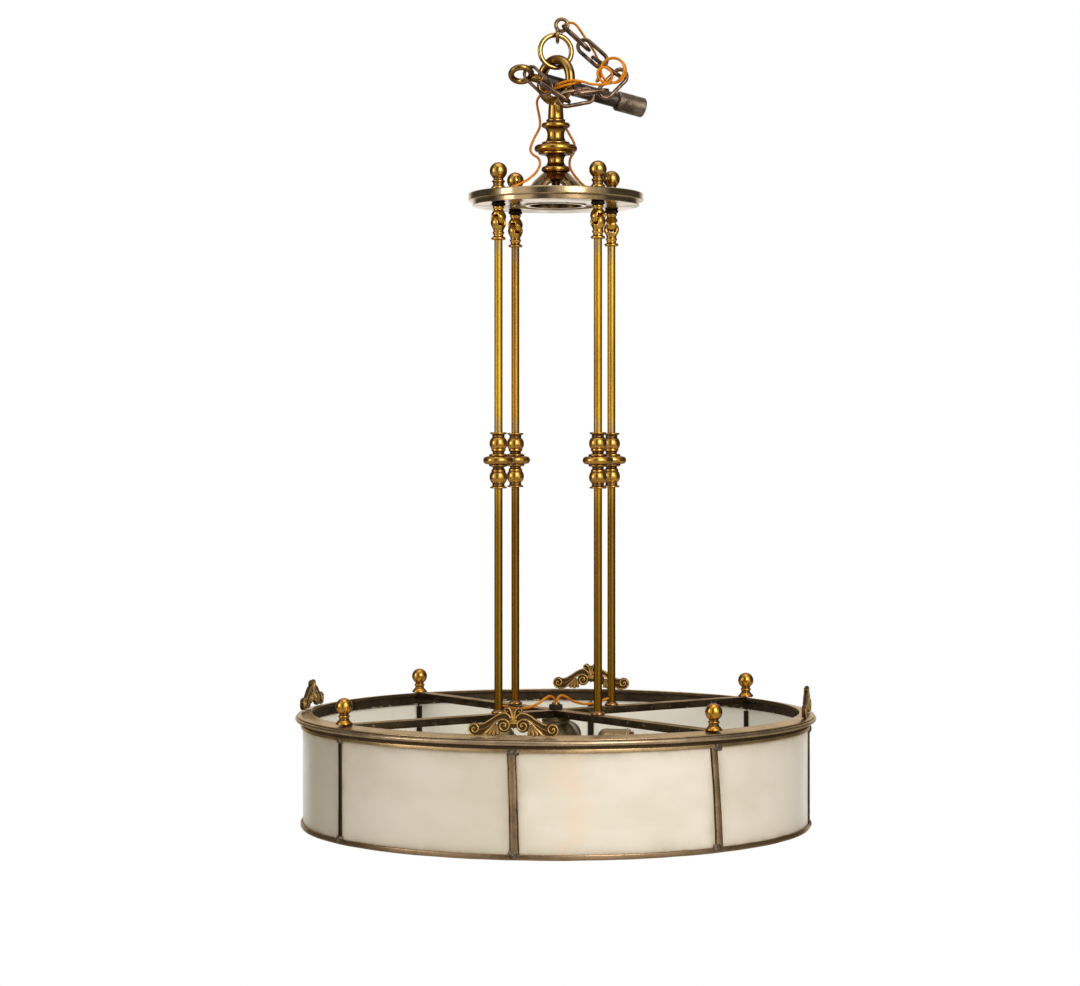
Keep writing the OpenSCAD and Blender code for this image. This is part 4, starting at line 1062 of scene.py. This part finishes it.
def bar_mesh(lap_up):
    """Side outline of one bar, drawn out to its width, with the lap cut out of its top or its foot."""
    notch, half, end_top = flange_r - 0.3, bar_w / 2 + 0.05, flange_under - 0.1
    top = [(-bar_reach, end_top), (-notch, end_top), (-notch, bar_top)]
    if lap_up:
        top += [(-half, bar_top), (-half, bar_mid), (half, bar_mid), (half, bar_top)]
    top += [(notch, bar_top), (notch, end_top), (bar_reach, end_top)]
    foot = [(bar_reach, bar_lo)]
    if not lap_up:
        foot += [(half, bar_lo), (half, bar_mid), (-half, bar_mid), (-half, bar_lo)]
    foot += [(-bar_reach, bar_lo)]
    outline = (foot + top)[::-1]
    points = [(x * MM, y * MM, z * MM) for y in (-bar_w / 2, bar_w / 2) for x, z in outline]
    count = len(outline)
    faces = [tuple(range(count - 1, -1, -1)), tuple(range(count, 2 * count))]
    faces += [(i, (i + 1) % count, (i + 1) % count + count, i + count) for i in range(count)]
    return mesh_of(points, faces)


def with_eased_edges(mesh, width):
    """The mesh with a narrow bevel along its sharp edges."""
    rough = piece("sharp_edged", mesh)
    bevel = rough.modifiers.new("eased_edges", "BEVEL")
    bevel.width, bevel.segments, bevel.limit_method = width * MM, 2, "ANGLE"
    bevel.angle_limit = math.radians(30)
    mesh = settled(rough)
    mesh.shade_smooth()
    mesh.set_sharp_from_angle(angle=math.radians(40))
    return mesh


def bar_lit_tops():
    f = Finish("dusty_bar_brass")
    # Painted light and shade: faces that look up are light tan, the sides near black.
    top = f.step(f.upward(), 0.4, 0.9)
    cloud = f.patches(30, 0.35, 0.68, detail=5)
    colour = f.mix((38, 31, 21), (62, 50, 33), cloud)
    colour = f.mix(colour, f.mix((160, 140, 108), (112, 93, 64), cloud), top)
    scuff = f.patches(220, 0.6, 0.72, detail=4, shift=4)
    colour = f.mix(colour, (176, 160, 130), scuff * 0.35)
    return f.done(colour, 0.36 + 0.25 * f.grain(90), 0.7, bump=f.grain(380, detail=4), depth=0.00012,
                  Specular_Tint=tone(190, 156, 112))


bar_finish = bar_lit_tops()
for n, lap_up in ((1, True), (2, False)):
    mesh = bar_mesh(lap_up)
    mesh.transform(spin(90 * n - 45))
    made = piece(f"lapped_crossbar_{n}", with_eased_edges(mesh, bar_easing), bar_finish)
    belongs(made, "dark_metal", f"cross_bar_{n}")

# Centre nut and nipple
# A blackened hexagon nut on a short threaded brass tube, which clamps the bars to the lamp cluster.
nut_z, nut_top = span("centre_nut", Z)
nut_r, nut_bore = 8.6, 4.95
nut_black = blackened("blackened_nut", (70, 62, 52), (26, 23, 19), 3.0)


def hex_nut(corner_r, height, base, bore):
    """A hexagon with its corners chamfered top and bottom."""
    top = base + height
    outline = [(bore, base + 0.4), (bore + 0.4, base), (corner_r - 1.4, base), (corner_r, base + 0.8),
               (corner_r, top - 0.8), (corner_r - 1.4, top), (bore + 0.4, top), (bore, top - 0.4)]
    mesh = revolve(outline, 96, hollow=[0] * len(outline))
    flat = corner_r * math.cos(math.pi / 6)
    for v in mesh.vertices:
        r, a = math.hypot(v.co.x, v.co.y) / MM, math.atan2(v.co.y, v.co.x)
        side = (a + math.pi / 6) % (math.pi / 3) - math.pi / 6
        most = flat / math.cos(side)
        if r > most:
            v.co.x, v.co.y = v.co.x * most / r, v.co.y * most / r
    mesh.set_sharp_from_angle(angle=math.radians(30))
    return mesh


made = piece("blackened_centre_nut", hex_nut(nut_r, nut_top - nut_z, nut_z, nut_bore), nut_black)
belongs(made, "dark_metal", "centre_nut")
nipple_lo, nipple_hi = span("centre_nipple", Z)
nipple_bore, nipple_r, thread_r, root_r, thread_pitch = 3.2, 4.5, 4.9, 4.45, 1.1
outline = [(nipple_bore, nipple_lo), (nipple_r, nipple_lo)]
for k in range(int((nipple_hi - nipple_lo) / thread_pitch)):
    outline += [(r, nipple_lo + (k + share) * thread_pitch)
                for r, share in ((thread_r, 0.3), (thread_r, 0.5), (root_r, 0.9))]
outline += [(nipple_r, nipple_hi), (nipple_bore, nipple_hi)]
nipple_brass = lacquered_brass("nipple_brass", (180, 140, 66), (88, 66, 32), 4.0)
# A little painted shade over the whole nipple.
mesh = revolve(outline, 40, hollow=[0.3] * len(outline))
belongs(piece("threaded_centre_nipple", mesh, nipple_brass), "turned_brass", "centre_nipple")

# Lamp cluster
# A spun dome with a neck under the bars, closed below by a cap with a small knob. Four short arms stand
# out of it. Its old finish has gone dull olive, with rubbed patches.
dome_foot, dome_top = span("cluster_body", Z)
dome_r, dome_z = 30.0, dome_foot + 14


def spun_brass(name, light, dark, seed):
    f = Finish(name)
    cloud = f.patches(32, 0.38, 0.62, shift=seed, detail=6, rough=0.65)
    rings = f.grain(600, (0.02, 0.02, 1), shift=seed)
    fleck = f.patches(280, 0.6, 0.72, shift=seed, detail=4)
    colour = f.mix(light, dark, cloud * 0.8 + fleck * 0.3)
    rough = 0.26 + 0.28 * cloud + 0.1 * rings
    return f.done(colour, rough, 0.95, bump=rings * 0.5 + fleck * -0.6, depth=0.00004)


olive_brass = spun_brass("dull_spun_brass", (146, 126, 92), (66, 56, 38), 5.0)
dome = turned([
    taper(dome_foot, dome_r, dome_z, dome_r), ball(dome_z, dome_r), disc(dome_z - 1.5, 30.6, 3, 1.5),
    disc(dome_foot + 1.4, 30.6, 2.8, 1.4), taper(dome_z + 20, 16, dome_top, 16),
    disc(dome_z + 29, 16.8, 2.4, 1.2)], dome_foot, dome_top, sides=72, soften=0.5)
belongs(piece("spun_cluster_dome", dome, olive_brass), "frame_brass", "cluster_body")
cap_lo, cap_hi = span("cluster_cap", Z)
cap = turned([taper(cap_hi - 2.2, 27, cap_hi, 30.2), taper(cap_hi - 6, 8, cap_hi - 2.2, 27),
              disc(cap_hi - 10, 6.5, 8, 4), cove(cap_hi - 7.4, cap_hi - 5, 7.4, 1)], cap_lo, cap_hi, sides=64)
belongs(piece("spun_cluster_cap", cap, olive_brass), "frame_brass", "cluster_cap")
dress("lamp_arms", lacquered_brass("arm_brass", (168, 138, 80), (84, 66, 36), 6.0))

# Lamp holders
# Four spun shells with a rounded cap and a beaded mouth. Each carries a copper screw shell in a
# black insulator, and the copper shows at the mouth.
holder_start, holder_end = span("lamp_holder_1", X)
holder_l, arm_z = holder_end - holder_start, sum(span("lamp_holder_1", Z)) / 2
holder_r, shell_t, bore_back, neck_r = 17.0, 1.2, 11.0, 5.1
mouth = ((0, 6), (0.5, 4.8), (0.8, 3.4), (0.8, 2.6), (0.4, 1.6), (0, 1), (-0.1, 0.1), (-shell_t, 0))
holder_brass = spun_brass("holder_spun_brass", (160, 138, 98), (92, 78, 50), 8.0)
outline = [(neck_r, 0.3), (5.4, 0), (8.6, 0), (9.0, 0.4), (9.0, 1.8), *arc((8, 11), 9, -90, 9, 0, 10),
           (holder_r + 0.25, 12.2), (holder_r, 13),
           *[(holder_r + out, holder_l - back) for out, back in mouth],
           (holder_r - shell_t, bore_back), (neck_r, bore_back)]
holder_mesh = revolve(outline, 64, hollow=[0] * len(outline))
holder_mesh.set_sharp_from_angle(angle=math.radians(45))
lie = Matrix.Translation((holder_start * MM, 0, arm_z * MM)) @ spin(90, "Y")
for n in range(4):
    mesh = copy_at(holder_mesh, spin(90 * n) @ lie)
    belongs(piece(f"spun_lamp_holder_{n + 1}", mesh, holder_brass), "turned_brass", f"lamp_holder_{n + 1}")
bpy.data.meshes.remove(holder_mesh)


def copper_shell():
    f = Finish("copper_screw_shell")
    cloud = f.patches(120, 0.4, 0.7, detail=4)
    colour = f.mix((206, 118, 72), (140, 78, 48), cloud)
    return f.done(colour, 0.3 + 0.2 * f.grain(200), 1.0, bump=f.grain(500), depth=0.0001)


shell_in, shell_out, shell_pitch, shell_turns = 13.3, 13.9, 3.4, 7
shell_foot, shell_lip = 16.0, holder_l + 3.9
outline = [(shell_in, shell_foot)]
for k in range(shell_turns):
    z = shell_foot + 1 + k * shell_pitch
    outline += [(shell_in + 0.05, z), (shell_out, z + 1.2), (shell_out, z + 1.8)]
outline += [(shell_in, shell_lip), (shell_out + 0.4, shell_lip), (shell_out + 0.4, shell_foot)]
mesh = revolve(outline[::-1], 56)
mesh.transform(lie)
four_of(mesh, "copper_screw_shells", copper_shell(), "copper_shell", "screw_shells", radius=0, first=0.0)
dress("socket_insulators", blackened("black_insulator", (52, 50, 46), (24, 23, 22), 6.0, 0.0))

# Rods
# Four drawn brass tubes. Their lacquer has worn in long streaks, they are pale and tarnished under the
# flange of each eye, and the two that carry wire have a hole at the foot.
rod_top_z = rod_high.z
collar_lo, collar_hi = span("rod_collars", Z)
collar_mid = (collar_lo + collar_hi) / 2
collar_mid_z = collar_mid * MM


def drawn_brass(name, light, dark_tone, seed):
    f = Finish(name)
    streak = f.grain(200, (1, 1, 0.015), detail=2, shift=seed)
    long_cloud = f.grain(70, (1, 1, 0.09), detail=3, shift=seed + 3)
    dark = f.step(streak, 0.44, 0.72) * 0.4 + f.step(long_cloud, 0.42, 0.7) * 0.5
    z = f.height()
    # Each rod is painted darker below its collar.
    low_half = 1 - f.step(z, collar_mid_z - 0.08, collar_mid_z + 0.02)
    colour = f.mix(light, dark_tone, dark)
    colour = f.mix(colour, (92, 60, 8), low_half * 0.76)
    patchy = f.patches(170, 0.3, 0.55, squash=(1, 1, 0.4), shift=seed)
    under = 1 - f.step(z, collar_mid_z + 0.04, collar_mid_z + 0.054)
    over_collar = f.step(z, collar_mid_z, collar_mid_z + 0.01) * under
    near_top = f.step(z, rod_top_z - 0.024, rod_top_z - 0.004) * patchy
    colour = f.mix(colour, (140, 120, 84), near_top * 0.7 + over_collar * patchy * 0.6)
    spots = f.patches(230, 0.68, 0.76, squash=(1, 1, 0.5), detail=2, shift=7)
    colour = f.mix(colour, (70, 50, 22), spots * 0.5)
    rough = 0.36 + 0.08 * streak + near_top * 0.08
    return f.done(colour, rough, 1.0, Specular_Tint=tone(80, 52, 16))


for n, light, dark in ((1, (184, 138, 40), (112, 76, 20)), (2, (172, 120, 36), (106, 68, 20)),
                       (3, (192, 148, 36), (118, 84, 20)), (4, (192, 144, 38), (116, 80, 20))):
    dress(f"down_rod_{n}", drawn_brass(f"drawn_rod_brass_{n}", light, dark, n * 7.0))

# Rod feet
# A small rounded disc round the foot of each rod, coppery where it is rubbed.
foot_z, foot_top = span("rod_feet", Z)
foot_h = foot_top - foot_z
foot_brass = lacquered_brass("rod_foot_brass", (186, 132, 72), (98, 68, 34), 9.0, 0.35)
mesh = turned([
    disc(1.5, 8.3, 3, 1.5), taper(3, 6.8, foot_h, 5.8)], 0, foot_h, sides=48, step=0.2, origin=foot_z)
four_of(mesh, "turned_rod_feet", foot_brass, "turned_brass", "rod_feet")

# Rod collars
# A turned brass sleeve half way up each rod: a wide disc between two urns, beads and coves.
collar_half_h = (collar_hi - collar_lo) / 2


def both_ways(*parts):
    """The same outline above and below the middle."""
    return [lambda y, part=part: part(abs(y)) for part in parts]


collar_brass = lacquered_brass("collar_brass", (206, 152, 58), (94, 64, 22), 12.0)
mesh = turned(both_ways(
    disc(0, 17.75, 9.6, 4.8), disc(6, 11, 3, 1.5), cove(7, 10.6, 8.4, 1.8), disc(11.8, 8.4, 3, 1.5),
    disc(19.4, 10.4, 13, 10), cove(25.4, 30.6, 8.4, 1.4), disc(31.4, 9.9, 2.2, 1.1)),
    -collar_half_h, collar_half_h, origin=collar_mid)
four_of(mesh, "turned_rod_collars", collar_brass, "turned_brass", "rod_collars")

# Interlocking eyes
# Cast brass eyes, one on each rod and one under the plate, hooked through each other. Each is a thick
# ring drawn out into its neck, and each pair faces its own way. The upper ones end in a black collar.
eye_d, eye_bar, eyes_apart, cap_h = 18.5, 5.8, 6.5, 3.9
eye_r = (eye_d - eye_bar) / 2
eye_swell, eye_drawn, eye_pinch = 2.9, 0.16, 0.05
eye_turns = [-36, -81, 9, 9]
rod_top = rod_top_z / MM
low_eye_z = span("lower_eyes", Z)[1] - eye_d / 2
high_eye_z = low_eye_z + eyes_apart
cap_z = high_eye_z + eye_d / 2


def ring_points(centre_z, stretch, sides=64, section=20):
    """A ring that stands on edge, drawn out towards its neck, its sides broad and its far end slim."""
    points, faces = [], []
    for i in range(sides):
        a = math.tau * i / sides
        broad = eye_bar / 2 + eye_swell * min(1 + stretch * math.sin(a), 1) ** 0.4
        for j in range(section):
            b = math.tau * j / section
            r = eye_r + eye_bar / 2 * math.cos(b)
            z = r * math.sin(a)
            if z * stretch > 0:
                z *= 1 + eye_drawn * (abs(z) / (eye_r + eye_bar / 2)) ** 2
            x = r * math.cos(a) * (1 - eye_pinch * max(z * stretch, 0) / eye_r)
            points.append((x, broad * math.sin(b), centre_z + z))
            m, n = (i + 1) % sides, (j + 1) % section
            faces.append((i * section + j, m * section + j, m * section + n, i * section + n))
    return points, faces


def solid_of(mesh):
    """The points of a mesh, in millimetres, and its faces."""
    return [tuple(v.co / MM) for v in mesh.vertices], [tuple(f.vertices) for f in mesh.polygons]


def eye_casting(centre_z, stretch, neck):
    """One casting, in metres, from a ring and its turned neck. The wall of its hole gets painted shade."""
    ring = ring_points(centre_z, stretch)
    points, faces = ring[0] + neck[0], ring[1] + [tuple(len(ring[0]) + k for k in face) for face in neck[1]]
    mesh = melted(points, faces, voxel=0.42, rounds=3)
    mesh.transform(Matrix.Scale(MM, 4))
    mesh.shade_smooth()
    inward = [-(v.normal.x * v.co.x + v.normal.z * (v.co.z - centre_z * MM)) / max(v.co.length, 1e-6)
              for v in mesh.vertices]
    paint(mesh, "hollow", [0.6 if share > 0.6 else 0.0 for share in inward])
    return mesh


neck_low = solid_of(turned([
    disc(1.7, 8.5, 3.4, 1.7), cove(3.2, 7, 6.6, 1), disc(8.4, 7, 3, 1.5), taper(9.6, 5.5, 11, 6.0),
    taper(11, 6.0, 16.3, 7.3)], 0, 16.3, sides=44, origin=rod_top))
neck_high = solid_of(turned([
    taper(-6.4, 7.6, -4, 7.3), taper(-4, 7.3, -1, 5.5), taper(-1, 5.5, 0.6, 5.6), disc(2, 6.8, 3.8, 1.9)],
    -6.4, cap_h, sides=44, origin=cap_z))
lower_casting = eye_casting(low_eye_z, -1, neck_low)
upper_casting = eye_casting(high_eye_z, 1, neck_high)
eye_brass = lacquered_brass("eye_brass", (216, 162, 58), (92, 66, 22), 15.0)
for name, casting, quarter, node in (("cast_lower_eyes", lower_casting, 0, "lower_eyes"),
                                     ("cast_upper_eyes", upper_casting, 90, "upper_eyes")):
    places = [spin(45 + 90 * n) @ Matrix.Translation((rod_ring_r * MM, 0, 0)) @ spin(turn + quarter)
              for n, turn in enumerate(eye_turns)]
    made = joined([piece(name, copy_at(casting, place), eye_brass) for place in places])
    belongs(made, "turned_brass", node)
collar_black = blackened("blackened_collar", (64, 50, 34), (24, 19, 14), 11.0)
mesh = turned([disc(2.05, 8.25, 4.1, 1.2), disc(2.05, 8.25, 3.0, 3.0)], 0, 4.1, sides=48, step=0.2,
              origin=cap_z + cap_h)
four_of(mesh, "black_eye_collars", collar_black, "turned_brass")

# Top plate
# A heavy turned plate of pale brass with a stepped edge, a wide hole and a lip round it. It is
# polished and scratched on its rim, and pale and smooth below.
plate_r, plate_t = span("top_plate", X)[1], plate_top - plate_lo
hole_r, step_h = 31.0, 5.4


def pale_brass(name, light, dark, seed):
    f = Finish(name)
    cloud = f.patches(22, 0.4, 0.66, shift=seed, detail=4, rough=0.6)
    haze = f.patches(120, 0.5, 0.75, squash=(1, 1, 2.5), shift=seed, detail=4)
    hair = f.grain(700, (1, 1, 0.12), shift=seed, detail=2)
    nick = f.patches(310, 0.66, 0.74, squash=(1, 1, 0.5), shift=seed + 4, detail=3)
    colour = f.mix(light, dark, cloud * 0.75 + haze * 0.2)
    colour = f.mix(colour, (82, 68, 44), nick * 0.4)
    # Painted shade where the mesh marks its hollows.
    colour = f.mix(colour, (96, 72, 38), f.painted("hollow") * 0.7)
    rough = 0.12 + 0.12 * cloud + 0.08 * haze + 0.1 * nick
    return f.done(colour, rough, 1.0, bump=hair * 0.5 + nick * -0.5, depth=0.000012,
                  Specular_Tint=tone(246, 240, 230))


plate_brass = pale_brass("pale_plate_brass", (184, 158, 118), (100, 76, 46), 3.0)
base = plate_lo
outline = rounded([
    (hole_r, base, 0.8), (hole_r + 5, base, 0.5), (hole_r + 5.6, base + 2.0, 0.8),
    (hole_r + 18.6, base + 2.0, 0.8), (hole_r + 19.2, base, 0.5), (plate_r - 5, base, 0.6),
    (plate_r - 5, base + step_h, 0.5),
    (plate_r - 0.9, base + step_h, 0.7), (plate_r, base + step_h + 1.0, 0.6),
    (plate_r, base + plate_t - 1.2, 0.7), (plate_r - 1.2, base + plate_t, 0.7),
    (plate_r - 11, base + plate_t, 0.3), (plate_r - 11.6, base + plate_t - 0.4, 0.2),
    (plate_r - 12.2, base + plate_t, 0.3), (hole_r, base + plate_t, 0.9)], 0.4)


def in_plate_shade(r, z):
    """The fine groove in the plate's top, the wall of its hole and the corner under its step, which get
    painted shade.
    """
    groove = plate_r - 12.3 < r < plate_r - 10.9 and z > base + 10
    return groove or r < hole_r + 0.5 or abs(z - base - step_h) < 0.25 and r < plate_r - 2


plate_mesh = revolve(outline, 192, hollow=[1.0 if in_plate_shade(r, z) else 0.0 for r, z in outline])
belongs(piece("stepped_top_plate", plate_mesh, plate_brass), "plate_brass", "top_plate")

# Plate finials
# A ball on a beaded neck over each rod, screwed down on the plate.
balls_foot, balls_top = span("plate_finials", Z)
balls_h, plate_ball_r = balls_top - balls_foot, 10.2
ball_brass = lacquered_brass("plate_finial_brass", (190, 144, 60), (82, 60, 24), 18.0)
mesh = turned([
    disc(2.2, 8.5, 4.4, 2.2), cove(4, 9, 7.2, 1), disc(9.8, 7.8, 2.4, 1.2), taper(10.5, 6, 14, 6),
    ball(balls_h - plate_ball_r, plate_ball_r)], 0, balls_h, origin=balls_foot)
four_of(mesh, "turned_plate_finials", ball_brass, "turned_brass", "plate_finials")

# Spider and its nut
# A cone of four broad straps, cut from one spinning, that carries the plate under the stem. It is
# pale brass like the plate, bright on the straps and dark where they bend.
dress("spider", pale_brass("pale_spider_brass", (160, 132, 88), (76, 58, 32), 7.0))
dress("stem_nut", nut_black)

# Stem
# The turned stem: beads, coves and one wide disc, screwed down through the spider, its neck tapered up
# to the hook loop.
spider_top = span("spider", Z)[1]
stem_h, screw_l = span("stem", Z)[1] - spider_top, 18
stem_brass = lacquered_brass("stem_brass", (202, 148, 52), (88, 62, 20), 21.0)
mesh = turned([
    disc(3.8, 17, 7.6, 3.8), cove(7, 21.5, 14, 4.4), disc(22.6, 20.5, 3.4, 1.7),
    disc(28.3, 25.3, 9, 4.5), disc(34.4, 16.6, 3.6, 1.8), cove(35.6, 52.6, 13, 3),
    disc(55.6, 16.8, 6.4, 3.2), taper(58.2, 12.6, 60, 11),
    disc(61.4, 11.4, 3.2, 1.6), taper(62.6, 9.4, stem_h, 8.6), taper(-screw_l, 5, 0.5, 5)],
    -screw_l, stem_h, sides=80, step=0.32, origin=spider_top)
# The screw below the spider's top gets full painted shade.
for v, spider_shade in zip(mesh.vertices, mesh.attributes["hollow"].data):
    if v.co.z < (spider_top - 0.5) * MM:
        spider_shade.value = 1.0
belongs(piece("turned_stem", mesh, stem_brass), "turned_brass", "stem")

# Hook loop, suspension ring and connector
# A thick forged ring brazed to the top of the stem, a thinner ring through it, and the brass connector
# that the chain starts from. All are rubbed bright where they hang in each other.
dress("hook_loop", lacquered_brass("loop_brass", (186, 140, 58), (84, 62, 26), 24.0, 0.65))
dress("suspension_ring", lacquered_brass("hanging_ring_brass", (186, 144, 70), (96, 74, 36), 27.0))
dress("chain_connector", lacquered_brass("connector_brass", (150, 114, 62), (74, 54, 32), 30.0, 0.7))

# Chain
# Eight links of dark brown bent bronze wire with patches of painted pinkish sheen, lashed in a heap by the
# lamp wire. The last one, in which the ceiling eye turns, is worn thin.
link_l, link_w, link_wire, worn_wire = 46.0, 21.0, 4.9, 4.05
link_dents, worn_dents = 0.0008, 0.0002
link_table = [
    ((24, -1, 31), (-43, -4, 90)), ((43, -0.6, 13.2), (-42, -13, 0)), ((60, -8, -4), (-36, -14, 90)),
    ((67, -14, -24), (45, 18, 0)), ((40, -26, -36), (8, 14, 90)), ((24, -27, -42), (11, 6, 0)),
    ((-2, -29.3, -36), (-33, 0, 90)), ((-20.5, -19.5, -21.5), (-43, -22, 0))]

bend, given = tree_of(
    "bent chain link", ("Line", "Geometry"), ("Wire", "Float"), ("Dents", "Float"), ("Seed", "Float"),
    ("Finish", "Material"))
section = bend.node("GeometryNodeCurvePrimitiveCircle", {
    "Resolution": 20, "Radius": given["Wire"] * 0.5}, mode="RADIUS")
body = bend.node("GeometryNodeCurveToMesh", {"Curve": given["Line"], "Profile Curve": section})
away = bend.node("ShaderNodeCombineXYZ", {"X": given["Seed"]})
where = bend.node("GeometryNodeInputPosition")
away = bend.node("ShaderNodeVectorMath", {0: where, 1: away}, operation="ADD")
dent = bend.node("ShaderNodeTexNoise", {"Vector": away, "Scale": 170.0, "Detail": 2.0}, "Fac")
press = bend.node("ShaderNodeVectorMath", {
    0: bend.node("GeometryNodeInputNormal"), "Scale": (dent - 0.56) * given["Dents"]}, operation="SCALE")
body = bend.node("GeometryNodeSetPosition", {"Geometry": body, "Offset": press})
bend.ends(body, given["Finish"])


def link_line(wire):
    """Middle line of one link: two straight sides and two half rounds, in metres."""
    straight, r = (link_l - link_w) / 2, (link_w - wire) / 2
    line = [(straight * s * MM, r * MM, 0) for s in (-1, -0.6, -0.2, 0.2, 0.6)]
    half = np.linspace(0, math.pi, 19)
    line += [((straight + r * math.sin(a)) * MM, r * math.cos(a) * MM, 0) for a in half]
    line += [(straight * s * MM, -r * MM, 0) for s in (0.6, 0.2, -0.2, -0.6)]
    line += [((-straight - r * math.sin(a)) * MM, -r * math.cos(a) * MM, 0) for a in half[:-1]]
    return line


def dark_bronze():
    f = Finish("dark_chain_bronze")
    cloud = f.patches(60, 0.35, 0.68, detail=5)
    # Patches of painted pinkish sheen.
    sheen_patches = f.patches(140, 0.5, 0.72, shift=4, detail=3)
    colour = f.mix((120, 94, 72), (64, 50, 38), cloud)
    colour = f.mix(colour, (172, 132, 106), sheen_patches * 0.6)
    rough = 0.2 + 0.16 * f.grain(220)
    return f.done(colour, rough, 0.95, bump=f.grain(400, detail=3) + sheen_patches * 0.5, depth=0.00005)


chain_finish = dark_bronze()
for n, (middle, (tilt, yaw, roll)) in enumerate(link_table, 1):
    wire, dents = (link_wire, link_dents) if n < len(link_table) else (worn_wire, worn_dents)
    made = made_by(bend, line_curve(link_line(wire), closed=True), f"bent_chain_link_{n}",
                   Wire=wire * MM, Dents=dents, Seed=n * 0.37, Finish=chain_finish)
    made.data.transform(to_front @ Matrix.Translation(Vector(middle) * MM) @ spin(yaw) @ spin(-tilt, "Y")
                        @ spin(roll, "X") @ spin(90, "X"))
    belongs(made, "chain_bronze", f"chain_link_{n}")

# Ceiling eye, pipe and coupling
# A brass eye screwed into a short blackened pipe with a worn steel coupling at its far end. They are
# laid through the loop and swing on the last link.
dress("ceiling_eye", lacquered_brass("ceiling_eye_brass", (160, 120, 48), (72, 52, 22), 33.0, 0.65))


def mill_steel(name, light, dark, shine, seed):
    f = Finish(name)
    cloud = f.patches(50, 0.36, 0.68, shift=seed, detail=5)
    pit = f.patches(210, 0.66, 0.74, shift=seed, detail=3)
    hair = f.grain(620, (0.25, 0.5, 1), shift=seed)
    colour = f.mix(light, dark, cloud * 0.7)
    colour = f.mix(colour, shine, f.step(hair, 0.52, 0.7) * 0.5)
    colour = f.mix(colour, (38, 32, 28), pit * 0.85)
    return f.done(colour, 0.3 + 0.2 * cloud + 0.3 * pit, 0.95, bump=hair * 0.4 + pit * -2.0, depth=0.00012)


dress("ceiling_pipe", mill_steel("blackened_pipe", (74, 66, 58), (36, 32, 30), (112, 104, 98), 2.0))
dress("pipe_coupling", mill_steel("worn_coupling", (116, 99, 82), (56, 46, 37), (172, 158, 140), 5.0))

# Floor and lights
# A pale floor a room's height below the loop, and three large soft lamps: the key at the front right,
# a weaker one at the left and one overhead. The camera sees a white background, metal a darker room.
floor_z, floor_size, floor_glow = -2.4, 12.0, 0.93
pale = Finish("pale_floor")
seen = pale.node("ShaderNodeLightPath", out="Is Camera Ray")
matt = pale.node("ShaderNodeBsdfDiffuse", {"Color": (0.86, 0.86, 0.85, 1)})
glow = pale.node("ShaderNodeEmission", {"Color": (1, 1, 1, 1), "Strength": 1.0})
white = pale.node("ShaderNodeMixShader", {0: seen * floor_glow, 1: matt, 2: glow})
pale.node("ShaderNodeOutputMaterial", {"Surface": white})
half = floor_size / 2
corners = [(x, y, floor_z) for x, y in ((-half, -half), (half, -half), (half, half), (-half, half))]
piece("floor", mesh_of(corners, [(0, 1, 2, 3)]), pale.material)
lamp_aim = Vector((0, 0, -0.45))


def soft_lamp(name, turn, rise, away, size, watts):
    lamp = bpy.data.objects.new(name, bpy.data.lights.new(name, "AREA"))
    scene.collection.objects.link(lamp)
    lamp.data.shape, lamp.data.size, lamp.data.size_y = "RECTANGLE", size[0], size[1]
    lamp.data.energy = watts
    a, e = math.radians(turn), math.radians(rise)
    back = Vector((math.sin(a) * math.cos(e), -math.cos(a) * math.cos(e), math.sin(e)))
    lamp.location = lamp_aim + back * away
    lamp.rotation_euler = (-back).to_track_quat("-Z", "Y").to_euler()


soft_lamp("key", 34, 22, 3.2, (1.3, 1.9), 54)
soft_lamp("fill", -58, 10, 3.4, (0.9, 1.8), 19)
soft_lamp("overhead", 10, 84, 2.6, (1.8, 1.8), 14)

world = bpy.data.worlds.new("studio")
scene.world = world
world.use_nodes = True
sky = Bench(world.node_tree)
ray = sky.node("ShaderNodeLightPath")
toward = sky.node("ShaderNodeTexCoord", out="Generated")


def wall(direction, narrow, wide, strength):
    """A soft bright wall round a direction, as polished metal sees it. A level one is tall."""
    seen_from = toward
    if direction[2] == 0:
        seen_from = sky.node("ShaderNodeVectorMath", {0: toward, 1: (1, 1, 0.35)}, operation="MULTIPLY")
        seen_from = sky.node("ShaderNodeVectorMath", {0: seen_from}, operation="NORMALIZE")
    facing = sky.node("ShaderNodeVectorMath", {0: seen_from, 1: Vector(direction).normalized()}, "Value",
                      operation="DOT_PRODUCT")
    return sky.node("ShaderNodeMapRange", {
        "Value": facing, "From Min": math.cos(math.radians(wide)),
        "From Max": math.cos(math.radians(narrow)), "To Max": strength}, interpolation_type="SMOOTHSTEP")


# Polished metal sees the white backdrop behind the fitting, two lit walls and the ceiling, with dark between.
level = (wall((-0.15, 1, 0), 14, 40, 1.05) + wall((0.62, -0.75, 0), 14, 46, 1.15)
         + wall((-0.72, -0.66, 0), 12, 36, 0.85) + wall((0, 0, 1), 20, 60, 0.5) + 0.1)
camera_share = ray.other("Is Camera Ray") + ray.other("Is Transmission Ray")
glossy = ray.other("Is Glossy Ray")
ambient = 0.48
strength = camera_share + glossy * level + (1 - camera_share) * (1 - glossy) * ambient
backdrop = sky.node("ShaderNodeBackground", {"Color": (1, 1, 1, 1), "Strength": strength})
sky.node("ShaderNodeOutputWorld", {"Surface": backdrop})
